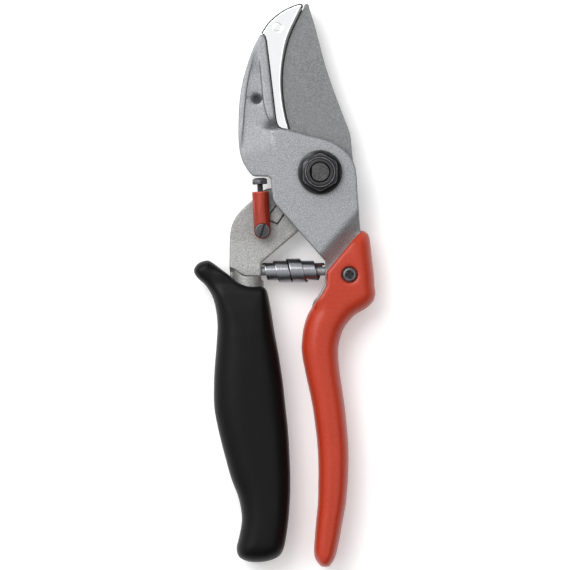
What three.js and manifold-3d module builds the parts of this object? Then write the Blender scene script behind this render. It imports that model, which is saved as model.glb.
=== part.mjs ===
// Anvil pruning shears, closed and locked: a curved blade on one cast arm meets a polished anvil on
// the other. They lie flat with the jaws towards +Y, the blade towards +X and the front face up.
// The origin is on the pivot's axis at the back face of the bolt's head. Sizes are in millimetres.
import * as THREE from 'three';
import { mergeVertices } from 'three/addons/utils/BufferGeometryUtils.js';
import Module from 'manifold-3d';

const wasm = await Module();
wasm.setup();

// Overall sizes.
const jawReach = 63; // from the pivot's axis to the blade's tip
const gripLength = 103.2; // from the top of the black grip to its lower end
const gripHalfHeight = 9; // half the thickness of either grip

// Clearances.
const gap = 0.3; // between pieces that touch, nest or pass through each other
const lockGap = 0.5; // between the anvil arm's shoulder and the lock's screw

// Pivot, from the back to the front.
const boltRadius = 4;
const boltHeadRadius = 8;
const boltHeadThickness = 2.7;
const boltThreadRadius = 3.5;
const boltFlatDepth = 0.6;
const bladeArmWeb = 4.2; // cast metal behind the blade
const bladeThickness = 2.8;
const frictionWasherThickness = 0.7;
const frictionWasherRadius = 9;
const anvilArmThickness = 4.5;
const bushWall = 1.3;
const frontWasherThickness = 0.5;
const frontWasherRadius = 7.6;
const nutFlangeRadius = 8.3;
const nutFlangeThickness = 1.5;
const nutAcrossFlats = 12.4;
const nutBodyHeight = 2.6;
const nutRimRadius = 5.5;
const nutRimWall = 0.5;
const nutRimHeight = 1.2;

// Jaws.
const headTop = 16; // where the jaws rise out of the pivot's disc
const discRadius = 12;
const anvilThickness = 7.2;
const bladeEdgeThickness = 0.3;
const bladeBevel = 5.5; // width of the bevel ground on the back
const tipThickness = 1.2;
const edgeClearance = 0.5; // between the blade's edge and the anvil
const jawThickness = 9.8;
const jawTaper = 3; // how much thinner the anvil arm's jaw grows towards the tip
const channelDepth = 1.8; // below the front face of the anvil arm's head
const anvilScrewDepth = 2; // from the same face to the screw's head
const tongueThickness = 2.4;
const anvilScrewX = -23.7;
const anvilScrewY = 27.6;
const anvilScrewRadius = 1.2;
const anvilScrewHeadRadius = 1.9;
const anvilScrewHeadHeight = 1.5;
const anvilScrewFloor = 1; // cast metal behind the screw's end

// Arms, grips and spring.
const gripTop = -42;
const neckHalfHeight = 4.5;
const tangHalfHeight = 3;
const bladeTangEnd = 0.7; // shares of the grip's length that the tangs reach down
const anvilTangEnd = 0.66;
const springY = -36.7;
const springSeatLeft = -21.8;
const springSeatRight = 2;
const springRadius = 4.68;
const springEndDrop = 1.65; // how much the coils shrink towards each end
const springStrip = 0.45;
const springStripWidth = 5;
const springTurns = 2.1; // on each side of the middle
const pegRadius = 1.7;
const pegLength = 3.6;
const gripScrewX = 11;
const gripScrewY = -38;
const gripScrewRadius = 1.6;
const gripScrewHeadRadius = 2.6;
const gripScrewHeadHeight = 1.7;
const sleeveWall = 0.8;
const sleeveFlangeRadius = 3.3;
const sleeveBack = 1.2; // height of the sleeve nut's outer face
const sleeveSeat = 2.9; // height of the step it is let into
const sleeveFloor = 1.3; // thickness of its closed end
const guardHalfHeight = 6; // half the thickness of the black grip's hook
const guardBevel = 1.6;

// Lock.
const strutPivotX = -21.4;
const strutPivotY = -21.7;
const strutLean = THREE.MathUtils.degToRad(3.1);
const strutRadius = 3.1;
const strutLength = 14.6; // from its pivot to its open end
const shoulderY = -1.5; // the anvil arm's face that the lock bears on
const adjusterHeadWidth = 5.5;
const adjusterHeadHeight = 2.4;
const adjusterRadius = 1.15;
const insertWall = 0.55;
const insertLength = 6.2;
const lockScrewRadius = 1.8;
const lockScrewHeadRadius = 2.65;
const lockScrewHeadHeight = 2.3;
const lockScrewFloor = 1.5; // cast metal behind the screw's end
const slotWidth = 0.8;
const slotDepth = 0.9;

// Heights of the layers, worked out from the sizes above.
const handleMid = gripHalfHeight;
const bladeArmBack = boltHeadThickness + gap;
const bladeSeat = bladeArmBack + bladeArmWeb;
const bladeBack = bladeSeat + gap;
const bladeFront = bladeBack + bladeThickness;
const bladeMid = (bladeBack + bladeFront) / 2;
const frictionWasherBack = bladeFront + gap;
const anvilArmBack = frictionWasherBack + frictionWasherThickness + gap;
const anvilArmFront = anvilArmBack + anvilArmThickness;
const frontWasherBack = anvilArmFront + gap;
const nutBack = frontWasherBack + frontWasherThickness + gap;
const nutShoulder = nutBack + nutFlangeThickness + nutBodyHeight;
const nutFront = nutShoulder + nutRimHeight;
const jawBack = bladeMid - jawThickness / 2;
const strutMid = bladeFront + gap + strutRadius;
const gripScrewSeat = handleMid + neckHalfHeight + gap + 1.4;
const anvilScrewFront = anvilArmFront - anvilScrewDepth;

// ---- Small tools --------------------------------------------------------------------------------

const at = (x, y) => new THREE.Vector2(x, y);
// A point beside the jaws, by its share of their height above the pivot's disc.
const jaw = (x, share) => at(x, headTop + share * (jawReach - headTop));
// A height beside the grips, by its share of their length below the top of the black grip.
const down = (share) => gripTop - share * gripLength;

function curve(points, steps = 5) {
  return new THREE.SplineCurve(points).getPoints(steps * (points.length - 1));
}

function arc(radius, from, to, steps) {
  const points = [];
  for (let i = 0; i <= steps; i += 1) {
    const angle = THREE.MathUtils.degToRad(from + ((to - from) * i) / steps);
    points.push(at(radius * Math.cos(angle), radius * Math.sin(angle)));
  }
  return points;
}

// An outline moved outwards by a distance, or inwards by a negative one.
function grown(points, distance) {
  const turn = Math.sign(THREE.ShapeUtils.area(points));
  return points.map((point, i) => {
    const before = points[(i + points.length - 1) % points.length];
    const after = points[(i + 1) % points.length];
    const into = point.clone().sub(before).normalize();
    const out = after.clone().sub(point).normalize();
    const normal = at(into.y + out.y, -into.x - out.x).normalize();
    const spread = Math.max(normal.dot(at(into.y, -into.x)), 0.5);
    return point.clone().addScaledVector(normal, (turn * distance) / spread);
  });
}

function toSolid(geometry) {
  const bare = geometry.clone();
  bare.deleteAttribute('normal');
  bare.deleteAttribute('uv');
  const merged = mergeVertices(bare, 1e-4);
  const triVerts = Uint32Array.from(merged.index.array);
  const vertProperties = Float32Array.from(merged.attributes.position.array);
  const solid = new wasm.Manifold(new wasm.Mesh({ numProp: 3, vertProperties, triVerts }));
  if (solid.volume() > 0) return solid;
  for (let i = 0; i < triVerts.length; i += 3) {
    [triVerts[i], triVerts[i + 1]] = [triVerts[i + 1], triVerts[i]];
  }
  return new wasm.Manifold(new wasm.Mesh({ numProp: 3, vertProperties, triVerts }));
}

function toGeometry(solid) {
  const mesh = solid.getMesh();
  const geometry = new THREE.BufferGeometry();
  geometry.setAttribute('position', new THREE.BufferAttribute(mesh.vertProperties, 3));
  geometry.setIndex(new THREE.BufferAttribute(mesh.triVerts, 1));
  geometry.computeVertexNormals();
  return geometry;
}

// A flat outline as a solid between two heights.
function plate(points, low, high) {
  const shape = new THREE.Shape(points);
  const geometry = new THREE.ExtrudeGeometry(shape, { depth: high - low, bevelEnabled: false });
  return toSolid(geometry.translate(0, 0, low));
}

// A side view, its points given as along-Y and height, as a solid across the whole width.
function sideProfile(points) {
  const width = 160;
  const shape = new THREE.Shape(points);
  const geometry = new THREE.ExtrudeGeometry(shape, { depth: width, bevelEnabled: false });
  const along = new THREE.Vector3(0, 1, 0);
  const up = new THREE.Vector3(0, 0, 1);
  const across = new THREE.Vector3(1, 0, 0);
  geometry.translate(0, 0, -width / 2);
  geometry.applyMatrix4(new THREE.Matrix4().makeBasis(along, up, across));
  return toSolid(geometry);
}

// A profile of radius and height turned about the Z axis.
function turned(profile, segments = 40) {
  const points = profile.map(([radius, height]) => at(radius, height));
  return toSolid(new THREE.LatheGeometry(points, segments).rotateX(Math.PI / 2));
}

function ring(inner, outer, low, high, segments = 40) {
  return turned([[inner, low], [outer, low], [outer, high], [inner, high], [inner, low]], segments);
}

function post(radius, low, high, x = 0, y = 0, segments = 40) {
  const profile = [[0, low], [radius, low], [radius, high], [0, high]];
  return turned(profile, segments).translate([x, y, 0]);
}

// A post lying along X.
function crossPost(radius, left, right, y, z) {
  const geometry = new THREE.CylinderGeometry(radius, radius, right - left, 24);
  geometry.rotateZ(Math.PI / 2);
  geometry.translate((left + right) / 2, y, z);
  return toSolid(geometry);
}

function block(width, depth, height, x, y, z) {
  return toSolid(new THREE.BoxGeometry(width, depth, height).translate(x, y, z));
}

// A skin stretched over rings that have the same number of points each, closed at both ends.
function loft(rings) {
  const count = rings[0].length;
  const positions = rings.flat().flatMap((point) => [point.x, point.y, point.z]);
  const index = [];
  for (let r = 0; r < rings.length - 1; r += 1) {
    for (let i = 0; i < count; i += 1) {
      const a = r * count + i;
      const b = r * count + ((i + 1) % count);
      index.push(a, b, b + count, a, b + count, a + count);
    }
  }
  for (const [first, flip] of [[0, true], [(rings.length - 1) * count, false]]) {
    for (let i = 1; i < count - 1; i += 1) {
      index.push(first, first + i + (flip ? 1 : 0), first + i + (flip ? 0 : 1));
    }
  }
  const geometry = new THREE.BufferGeometry();
  geometry.setAttribute('position', new THREE.Float32BufferAttribute(positions, 3));
  geometry.setIndex(index);
  return toSolid(geometry);
}

// A grip from rows of height along Y, left edge, right edge and half thickness.
function gripBody(rows, points = 24, steps = 2, squareness = 2.5) {
  const edge = (column) => {
    const stops = rows.map((row) => new THREE.Vector3(row[column], row[0], row[3]));
    const line = new THREE.CatmullRomCurve3(stops, false, 'catmullrom', 0.5);
    return line.getPoints(steps * (rows.length - 1));
  };
  const left = edge(1);
  const right = edge(2);
  const rounded = (value) => Math.sign(value) * Math.abs(value) ** (2 / squareness);
  return loft(left.map((l, i) => {
    const middle = (l.x + right[i].x) / 2;
    const half = (right[i].x - l.x) / 2;
    return Array.from({ length: points }, (_, k) => {
      const angle = (2 * Math.PI * k) / points;
      const x = middle + half * rounded(Math.cos(angle));
      const z = handleMid + Math.min(l.z, gripHalfHeight) * rounded(Math.sin(angle));
      return new THREE.Vector3(x, l.y, z);
    });
  }));
}

const colours = {
  castFront: { color: 0xa5a8aa, roughness: 0.45, metalness: 0.8 },
  castBack: { color: 0x9e9e98, roughness: 0.5, metalness: 0.8 },
  polished: { color: 0xe6e7e8, roughness: 0.12, metalness: 1 },
  bladeCoat: { color: 0x808284, roughness: 0.45, metalness: 0.7 },
  black: { color: 0x161617, roughness: 0.5, metalness: 0 },
  blackSteel: { color: 0x1c1c1e, roughness: 0.35, metalness: 0.8 },
  zinc: { color: 0xb4b4b2, roughness: 0.3, metalness: 1 },
  nylon: { color: 0x2b2c2f, roughness: 0.55, metalness: 0 },
  bronze: { color: 0x9a7b45, roughness: 0.4, metalness: 1 },
  brass: { color: 0xb9954a, roughness: 0.3, metalness: 1 },
  redPlastic: { color: 0xbf3a24, roughness: 0.4, metalness: 0 },
  redAnodised: { color: 0xb8321c, roughness: 0.35, metalness: 0.6 },
  springSteel: { color: 0xc9cacb, roughness: 0.15, metalness: 1 },
};

function piece(name, solid, colour) {
  const material = new THREE.MeshStandardMaterial(colours[colour]);
  const mesh = new THREE.Mesh(toGeometry(solid), material);
  mesh.name = name;
  return mesh;
}

// ---- Jaws ---------------------------------------------------------------------------------------

// The line where blade and anvil meet, from the heel to the tip.
const biteLine = [
  jaw(-11.7, 0.02), jaw(-13, 0.12), jaw(-14, 0.25), jaw(-14.35, 0.38),
  jaw(-14, 0.51), jaw(-12.9, 0.64), jaw(-11, 0.77), jaw(-6.7, 0.96),
];

function anvil() {
  const joint = [
    jaw(-14.1, 0.018), jaw(-15.5, 0.035), jaw(-16.3, 0.085), jaw(-19.7, 0.715), jaw(-20.4, 0.75),
    jaw(-21.8, 0.77),
  ];
  const nose = curve([
    jaw(-21.8, 0.77), jaw(-18.6, 0.865), jaw(-13.4, 0.95), jaw(-7.7, 1), jaw(-6.3, 0.985),
    jaw(-6.7, 0.96),
  ]);
  const outline = [...curve(biteLine), ...nose.reverse().slice(1), ...joint.reverse().slice(1)];
  const low = bladeMid - anvilThickness / 2;
  const tongueHalf = tongueThickness / 2;
  const tongue = plate(tongueOutline(0), bladeMid - tongueHalf, bladeMid + tongueHalf);
  const hole = post(anvilScrewRadius + gap, 0, anvilArmFront, anvilScrewX, anvilScrewY, 24);
  return plate(outline, low, low + anvilThickness).add(tongue).subtract(hole);
}

// The anvil's hidden tongue, which its screw passes through.
function tongueOutline(extra) {
  const left = anvilScrewX - 2.6 - extra;
  const low = anvilScrewY - 5 - extra;
  const high = anvilScrewY + 6 + extra;
  return [at(left, low), at(anvilScrewX + 7.6, low), at(anvilScrewX + 7.6, high), at(left, high)];
}

function anvilScrew() {
  const front = anvilScrewFront;
  const neck = front - anvilScrewHeadHeight;
  const end = jawBack + anvilScrewFloor + gap;
  const socketRadius = 0.9;
  const socketDepth = 0.8;
  const head = post(anvilScrewHeadRadius, neck, front, 0, 0, 24);
  const shank = post(anvilScrewRadius, end, neck + 0.1, 0, 0, 24);
  const socket = post(socketRadius, front - socketDepth, front + 1, 0, 0, 6);
  return head.add(shank).subtract(socket).translate([anvilScrewX, anvilScrewY, 0]);
}

// The blade's tang round the pivot, with the lug that locks it into its arm.
function tangOutline() {
  const lug = [
    at(-12.6, -8.2), at(-18.6, -15.6), at(-18.4, -17.8), at(-15.9, -18.8), at(-13.5, -15.3),
  ];
  return [...arc(discRadius, -125, 200, 44), ...lug];
}

function blade() {
  const edge = curve(biteLine, 3).map((point) => at(point.x + edgeClearance, point.y));
  const spine = curve([
    jaw(11.3, -0.04), jaw(9.6, 0.065), jaw(5.9, 0.27), jaw(2, 0.515), jaw(-1.7, 0.81),
    jaw(-3.9, 0.965),
  ], 4);
  const along = (points, y) => {
    const next = Math.max(points.findIndex((point) => point.y >= y), 1);
    const [a, b] = [points[next - 1], points[next]];
    return a.x + ((b.x - a.x) * (y - a.y)) / (b.y - a.y);
  };
  const top = jaw(0, 0.955).y;
  const stations = 16;
  const rings = Array.from({ length: stations + 1 }, (_, i) => {
    const y = edge[0].y + ((top - edge[0].y) * i) / stations;
    const cut = along(edge, y);
    const back = along(spine, y);
    const bevel = Math.min(bladeBevel, (back - cut) * 0.6);
    const section = [
      [cut, bladeFront - bladeEdgeThickness], [cut + bevel, bladeBack], [back, bladeBack],
      [back, bladeFront], [cut, bladeFront],
    ];
    return section.map(([x, z]) => new THREE.Vector3(x, y, z));
  });
  const tip = [jaw(-6.1, 0.955), jaw(-5, 1), jaw(-4.2, 0.99), jaw(-3.7, 0.955)];
  const root = [
    at(-12, 0), at(-11.5, 10), jaw(-11.1, 0.02), jaw(-10.6, 0.06), jaw(9.7, 0.06),
    jaw(11.3, -0.04), at(12.1, 7), at(12.7, 1.8), at(12.4, -1.5), at(11.6, -3),
  ];
  return loft(rings)
    .add(plate(root, bladeBack, bladeFront))
    .add(plate(tip, bladeFront - tipThickness, bladeFront))
    .add(plate(tangOutline(), bladeBack, bladeFront))
    .subtract(post(boltRadius + gap, 0, nutFront));
}

// ---- Arms ---------------------------------------------------------------------------------------

// The blade arm from the front, with its tang that the black grip is moulded over.
function bladeArmOutline() {
  const left = curve([
    at(-17.6, -5.7), at(-20.9, -6.5), at(-25, -10.1), at(-29.8, -14.6), at(-32.5, -18.8),
    at(-33.5, -24), at(-33.7, -35),
  ], 4);
  const tang = curve([
    at(-33.2, gripTop), at(-31.4, down(0.04)), at(-31.2, down(0.2)), at(-32, down(0.4)),
    at(-30.2, down(0.58)), at(-27.6, down(0.68)), at(-24.8, down(0.68)), at(-24.2, down(0.5)),
    at(-24.6, down(0.35)), at(-23, down(0.16)), at(-21.6, down(0.05)),
  ], 3);
  const neck = [
    at(-21, gripTop - 0.7), at(-21, gripTop + 1.6), at(springSeatLeft, gripTop + 2),
    at(springSeatLeft, -33.5), at(-7.7, -21.6), at(2, -14.6),
  ];
  return [...arc(discRadius + 0.5, -37, 185, 28), ...left, ...tang, ...neck];
}

function bladeArmProfile(extra) {
  const mid = handleMid;
  const neck = neckHalfHeight + extra;
  const tang = tangHalfHeight + extra;
  const end = down(bladeTangEnd);
  return [
    at(20, bladeArmBack), at(-25, bladeArmBack), at(-30, mid - neck), at(gripTop, mid - neck),
    at(gripTop - 3, mid - tang), at(end, mid - tang), at(end, mid + tang),
    at(gripTop - 3, mid + tang), at(gripTop, mid + neck), at(-31, mid + neck),
    at(-26.5, bladeFront), at(20, bladeFront),
  ];
}

function bladeArm() {
  const outline = bladeArmOutline();
  const screwFloor = bladeArmBack + lockScrewFloor;
  const pegEnd = springSeatLeft + pegLength;
  const peg = crossPost(pegRadius, springSeatLeft - 0.5, pegEnd, springY, handleMid);
  return plate(outline, 0, nutFront)
    .intersect(sideProfile(bladeArmProfile(0)))
    .subtract(post(discRadius + 1, bladeSeat, nutFront))
    .subtract(plate(grown(tangOutline(), gap), bladeSeat, nutFront))
    .subtract(post(boltRadius + gap, 0, nutFront))
    .subtract(post(lockScrewRadius + gap, screwFloor, nutFront, strutPivotX, strutPivotY))
    .add(peg);
}

// The anvil arm from the front, with its tang between the red shells.
function anvilArmOutline() {
  const jawBackEdge = curve([
    at(-23.9, shoulderY), at(-25.4, shoulderY + 0.6), at(-27.4, 1.7), at(-29.3, 5.6),
    at(-30.3, 12), jaw(-30.2, 0.14), jaw(-29.6, 0.28), jaw(-28.2, 0.43), jaw(-25.2, 0.625),
    jaw(-22.1, 0.755),
  ]);
  const jawInnerEdge = [
    jaw(-20.7, 0.742), jaw(-20.1, 0.71), jaw(-16.8, 0.085), jaw(-15.9, 0.025), jaw(-14.3, 0.003),
  ];
  const discEdge = curve([
    at(-11.6, headTop - 0.3), at(-3.7, 13.5), at(3.7, 11.5), at(9.3, 7.9), at(12.6, 3.5),
    at(13.6, -1), at(13.9, -6),
  ]);
  const rightEdge = curve([
    at(14.5, -14), at(15.2, -22), at(16.8, -30), at(16.3, -39), at(12.5, down(0.055)),
    at(6.5, down(0.12)), at(3.9, down(0.19)), at(3.6, down(0.28)), at(4.6, down(0.46)),
    at(6.9, down(0.65)),
  ], 4);
  const leftEdge = curve([
    at(4.2, down(0.65)), at(1.2, down(0.48)), at(-1.4, down(0.33)), at(-2.9, down(0.23)),
    at(-3.6, down(0.13)), at(-2.6, down(0.065)), at(-0.5, down(0.036)), at(1.9, down(-0.005)),
  ], 4);
  const waist = [
    at(springSeatRight, -33), at(-16.4, -12.1), at(-17.5, -10.4), at(-18, -6.5), at(-18.3, -2.4),
    at(-19.2, shoulderY),
  ];
  return [...jawBackEdge, ...jawInnerEdge, ...discEdge, ...rightEdge, ...leftEdge, ...waist];
}

function anvilArmProfile(extra) {
  const mid = handleMid;
  const neck = neckHalfHeight + extra;
  const tang = tangHalfHeight + extra;
  const end = down(anvilTangEnd);
  return [
    at(80, anvilArmBack), at(-20.5, anvilArmBack), at(-31.5, mid - neck - extra),
    at(gripTop - 4, mid - neck), at(gripTop - 10, mid - tang), at(end, mid - tang),
    at(end, mid + tang), at(gripTop - 10, mid + tang), at(gripTop - 4, mid + neck),
    at(-34, mid + neck + extra), at(-14, anvilArmFront + extra), at(80, anvilArmFront),
  ];
}

// The deep part of the jaw that backs the anvil.
function jawOutline() {
  const back = curve([
    at(-29.6, 7), at(-30.3, 12), jaw(-30.2, 0.14), jaw(-29.6, 0.28), jaw(-28.2, 0.43),
    jaw(-25.2, 0.625), jaw(-22.1, 0.755),
  ]);
  const inner = [
    jaw(-20.7, 0.742), jaw(-20.1, 0.71), jaw(-16.8, 0.085), jaw(-16, 0.03), at(-17.5, 13),
  ];
  return [...back, ...inner];
}

function jawProfile() {
  const tip = headTop + 0.8 * (jawReach - headTop);
  const tipRise = 1.2;
  return [
    at(0, jawBack), at(headTop, jawBack), at(tip, jawBack + tipRise),
    at(tip, anvilArmFront - 2 * tipRise), at(headTop, anvilArmFront), at(0, anvilArmFront),
  ];
}

// The sunken channel along the front of the jaw.
function channelOutline() {
  const outer = [jaw(-25, 0.555), jaw(-27.2, 0.355), jaw(-28.2, 0.155), at(-28.6, 12)];
  const inner = [
    at(-20, 13.5), jaw(-18.6, 0.07), jaw(-20.9, 0.235), jaw(-21.6, 0.395), jaw(-22.4, 0.57),
  ];
  return [...curve(outer, 3), ...curve(inner, 3)];
}

function anvilArm() {
  const plan = plate(anvilArmOutline(), 0, nutFront).intersect(sideProfile(anvilArmProfile(0)));
  const deep = plate(jawOutline(), 0, nutFront).intersect(sideProfile(jawProfile()));
  const above = nutFront + 5;
  const taper = sideProfile([
    at(headTop, anvilArmFront), at(jawReach, anvilArmFront - jawTaper), at(jawReach, above),
    at(headTop, above),
  ]);
  const slotHalf = tongueThickness / 2 + gap;
  const screwHole = post(anvilScrewRadius + gap, jawBack + anvilScrewFloor, nutFront, 0, 0, 24);
  const screwHeadSeat = anvilScrewFront - anvilScrewHeadHeight - gap;
  const screwRecess = post(anvilScrewHeadRadius + gap, screwHeadSeat, nutFront, 0, 0, 24);
  const pegEnd = springSeatRight - pegLength;
  const peg = crossPost(pegRadius, pegEnd, springSeatRight + 0.5, springY, handleMid);
  return plan.add(deep)
    .subtract(taper)
    .subtract(plate(channelOutline(), anvilArmFront - channelDepth, nutFront))
    .subtract(plate(tongueOutline(gap), bladeMid - slotHalf, bladeMid + slotHalf))
    .subtract(screwHole.add(screwRecess).translate([anvilScrewX, anvilScrewY, 0]))
    .subtract(post(boltRadius + bushWall + 2 * gap, 0, nutFront))
    .subtract(post(gripScrewRadius + sleeveWall + 2 * gap, -1, nutFront, gripScrewX, gripScrewY))
    .add(peg);
}

// ---- Pivot --------------------------------------------------------------------------------------

function pivotBolt() {
  const chamfer = 0.5;
  const end = nutFront + 0.6;
  const body = turned([
    [0, 0], [boltHeadRadius - chamfer, 0], [boltHeadRadius, chamfer],
    [boltHeadRadius, boltHeadThickness], [boltRadius, boltHeadThickness],
    [boltRadius, nutBack - gap], [boltThreadRadius, nutBack],
    [boltThreadRadius, end - chamfer], [boltThreadRadius - chamfer, end], [0, end],
  ]);
  const flat = block(4, 10, 6, -boltThreadRadius - 2 + boltFlatDepth, 0, end);
  return body.subtract(flat);
}

function pivotBush() {
  const inner = boltRadius + gap;
  return ring(inner, inner + bushWall, anvilArmBack + 0.05, anvilArmFront - 0.05);
}

function pivotNut() {
  const flangeTop = nutBack + nutFlangeThickness + 0.3;
  const flange = turned([
    [0, nutBack], [nutFlangeRadius, nutBack], [nutFlangeRadius, nutBack + 0.7],
    [nutAcrossFlats / 2, flangeTop], [0, flangeTop],
  ]);
  const corner = nutAcrossFlats / Math.sqrt(3);
  const height = nutShoulder - nutBack;
  const hexagon = new THREE.CylinderGeometry(corner - 0.4, corner, height, 6).rotateX(Math.PI / 2);
  const body = toSolid(hexagon.translate(0, 0, nutBack + height / 2));
  const rim = post(nutRimRadius, nutShoulder - 0.5, nutFront);
  const bore = post(boltThreadRadius + gap, 0, nutFront + 1);
  const seat = post(nutRimRadius - nutRimWall, nutShoulder - 1, nutFront + 1);
  return flange.add(body).add(rim).subtract(bore).subtract(seat);
}

function nutInsert() {
  const outer = nutRimRadius - nutRimWall - gap;
  return ring(boltThreadRadius + gap, outer, nutShoulder - 1 + gap, nutFront - 0.3);
}

// ---- Grips --------------------------------------------------------------------------------------

function thumbGrip() {
  const rows = [
    [gripTop + 0.4, -32.5, -22, 6.4], [down(0.025), -34.4, -19.3, 7.4],
    [down(0.09), -37, -18.2, 8.2],
    [down(0.18), -38.2, -16.7, 8.8], [down(0.26), -38.9, -15.2, gripHalfHeight],
    [down(0.35), -39.5, -13.8, gripHalfHeight], [down(0.44), -39.4, -12.8, gripHalfHeight],
    [down(0.52), -37.9, -11.9, gripHalfHeight], [down(0.61), -35.6, -11.3, gripHalfHeight],
    [down(0.7), -33, -11, gripHalfHeight], [down(0.77), -30.3, -11.1, gripHalfHeight],
    [down(0.84), -29.1, -11.6, gripHalfHeight], [down(0.9), -29.9, -12.4, 8.6],
    [down(0.945), -31, -13.3, 7.8], [down(0.974), -30.6, -14.7, 6.6], [down(0.99), -29, -17.2, 4.8],
    [down(1), -25.8, -21.3, 2],
  ];
  const guard = curve([
    at(-33.6, -38.2), at(-40.1, -33.5), at(-42.2, -32.7), at(-45.4, -33.8), at(-47, -36.4),
    at(-45.9, -39), at(-42.7, -42), at(-40, -46.5), at(-38.5, -52), at(-38.2, -57.3),
  ], 3);
  const hook = [...guard, at(-30, -62), at(-30, -42.4)];
  const half = guardHalfHeight;
  const flank = half - guardBevel;
  const fin = plate(hook, handleMid - flank, handleMid + flank)
    .add(plate(grown(hook, -guardBevel), handleMid - half, handleMid + half));
  const pocket = plate(grown(bladeArmOutline(), gap), 0, nutFront)
    .intersect(sideProfile(bladeArmProfile(gap)));
  return gripBody(rows).add(fin).subtract(pocket);
}

// Both red shells together, before they part along the middle.
function redGrip() {
  const rows = [
    [-22.2, 15, 16.6, 5], [-26, 11.6, 18.7, 7.6], [-30.4, 8, 19.3, 8.4], [-37.2, 2.3, 20.1, 8.8],
    [gripTop, 2.2, 20.4, gripHalfHeight], [down(0.03), 0.6, 20.7, gripHalfHeight],
    [down(0.055), -1.4, 20.4, gripHalfHeight], [down(0.085), -3.3, 17, gripHalfHeight],
    [down(0.11), -4.7, 12.8, gripHalfHeight], [down(0.15), -6, 9.3, gripHalfHeight],
    [down(0.19), -6.6, 7.6, gripHalfHeight], [down(0.24), -6.8, 6.8, gripHalfHeight],
    [down(0.32), -5.3, 7.5, gripHalfHeight], [down(0.44), -2.7, 9.3, gripHalfHeight],
    [down(0.57), -1, 10.6, gripHalfHeight], [down(0.65), -0.6, 10.7, gripHalfHeight],
    [down(0.72), -0.6, 10.4, gripHalfHeight], [down(0.79), -0.8, 9.7, gripHalfHeight],
    [down(0.85), -1.4, 8.6, gripHalfHeight], [down(0.91), -1.9, 7.5, 8.6],
    [down(0.96), -2.2, 6.4, 7.4], [down(0.99), -1.7, 5.5, 5.8], [down(1.01), -0.3, 4.2, 3.6],
    [down(1.02), 0.9, 3.2, 1.6],
  ];
  const pocket = plate(grown(anvilArmOutline(), gap), 0, nutFront)
    .intersect(sideProfile(anvilArmProfile(gap)));
  return gripBody(rows).subtract(pocket);
}

function frontShell() {
  const front = block(120, 300, 40, 0, 0, handleMid + gap / 2 + 20);
  return redGrip().intersect(front)
    .subtract(post(gripScrewRadius + gap, 0, 40, gripScrewX, gripScrewY))
    .subtract(post(gripScrewHeadRadius + 0.6, gripScrewSeat, 40, gripScrewX, gripScrewY));
}

function backShell() {
  const back = block(120, 300, 40, 0, 0, handleMid - gap / 2 - 20);
  return redGrip().intersect(back)
    .subtract(post(gripScrewRadius + sleeveWall + 2 * gap, -1, 20, gripScrewX, gripScrewY))
    .subtract(post(sleeveFlangeRadius + gap, -1, sleeveSeat, gripScrewX, gripScrewY));
}

function sleeveNut() {
  const outer = gripScrewRadius + sleeveWall + gap;
  const bore = gripScrewRadius + gap;
  const neck = sleeveSeat - gap;
  const end = handleMid - 0.5;
  const floor = sleeveBack + sleeveFloor;
  return turned([
    [0, sleeveBack], [sleeveFlangeRadius, sleeveBack], [sleeveFlangeRadius, neck], [outer, neck],
    [outer, end], [bore, end], [bore, floor], [0, floor],
  ]).translate([gripScrewX, gripScrewY, 0]);
}

function gripScrew() {
  const end = handleMid / 2;
  const low = gripScrewSeat + gap;
  const high = low + gripScrewHeadHeight;
  const chamfer = 0.7;
  const crossLength = 3.2;
  const arms = block(crossLength, slotWidth, 2, 0, 0, high)
    .add(block(slotWidth, crossLength, 2, 0, 0, high));
  return turned([
    [0, end], [gripScrewRadius, end], [gripScrewRadius, low], [gripScrewHeadRadius, low],
    [gripScrewHeadRadius, high - chamfer], [gripScrewHeadRadius - chamfer, high], [0, high],
  ]).subtract(arms).translate([gripScrewX, gripScrewY, 0]);
}

// ---- Spring -------------------------------------------------------------------------------------

// A double volute spring: one flat strip wound widest in the middle, so that the turns to each side
// slide inside it.
function voluteSpring() {
  const length = springSeatRight - springSeatLeft - 2 * gap;
  const middle = (springSeatLeft + springSeatRight) / 2;
  const nested = 0.8;
  const wide = springStripWidth + gap;
  const narrow = ((length - springStripWidth) / 2 - wide * nested) / (springTurns - nested);
  const steps = 116;
  const rings = Array.from({ length: steps + 1 }, (_, i) => {
    const turn = springTurns * ((2 * i) / steps - 1);
    const side = Math.abs(turn);
    const reached = wide * Math.min(side, nested) + narrow * Math.max(side - nested, 0);
    const shift = Math.sign(turn) * reached;
    const radius = springRadius - springStrip / 2 - (springEndDrop * side) / springTurns;
    const angle = turn * 2 * Math.PI;
    const corner = (out, across) => {
      const reach = radius + (out * springStrip) / 2;
      const y = springY + reach * Math.cos(angle);
      const z = handleMid + reach * Math.sin(angle);
      return new THREE.Vector3(middle + shift + (across * springStripWidth) / 2, y, z);
    };
    return [corner(-1, -1), corner(1, -1), corner(1, 1), corner(-1, 1)];
  });
  return loft(rings);
}

// ---- Lock ---------------------------------------------------------------------------------------

// The lock's pieces are made upright about its pivot, along +Y, and then leant over as a group.
const shoulderReach = (shoulderY - strutPivotY) / Math.cos(strutLean);

function alongStrut(profile, segments = 32) {
  const points = profile.map(([radius, height]) => at(radius, height));
  return toSolid(new THREE.LatheGeometry(points, segments));
}

function strutBore() {
  return adjusterRadius + insertWall + 2 * gap;
}

function lockStrut() {
  const foot = arc(strutRadius, -90, 0, 8).map((point) => [point.x, point.y]);
  const tube = alongStrut([
    ...foot, [strutRadius, strutLength], [strutBore(), strutLength], [strutBore(), 4.6], [0, 4.6],
  ]);
  const seat = strutRadius - lockScrewHeadHeight - 0.2;
  const scoop = post(lockScrewHeadRadius + gap, seat, 6);
  return tube.subtract(scoop).subtract(post(lockScrewRadius + gap, -6, 6));
}

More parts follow.
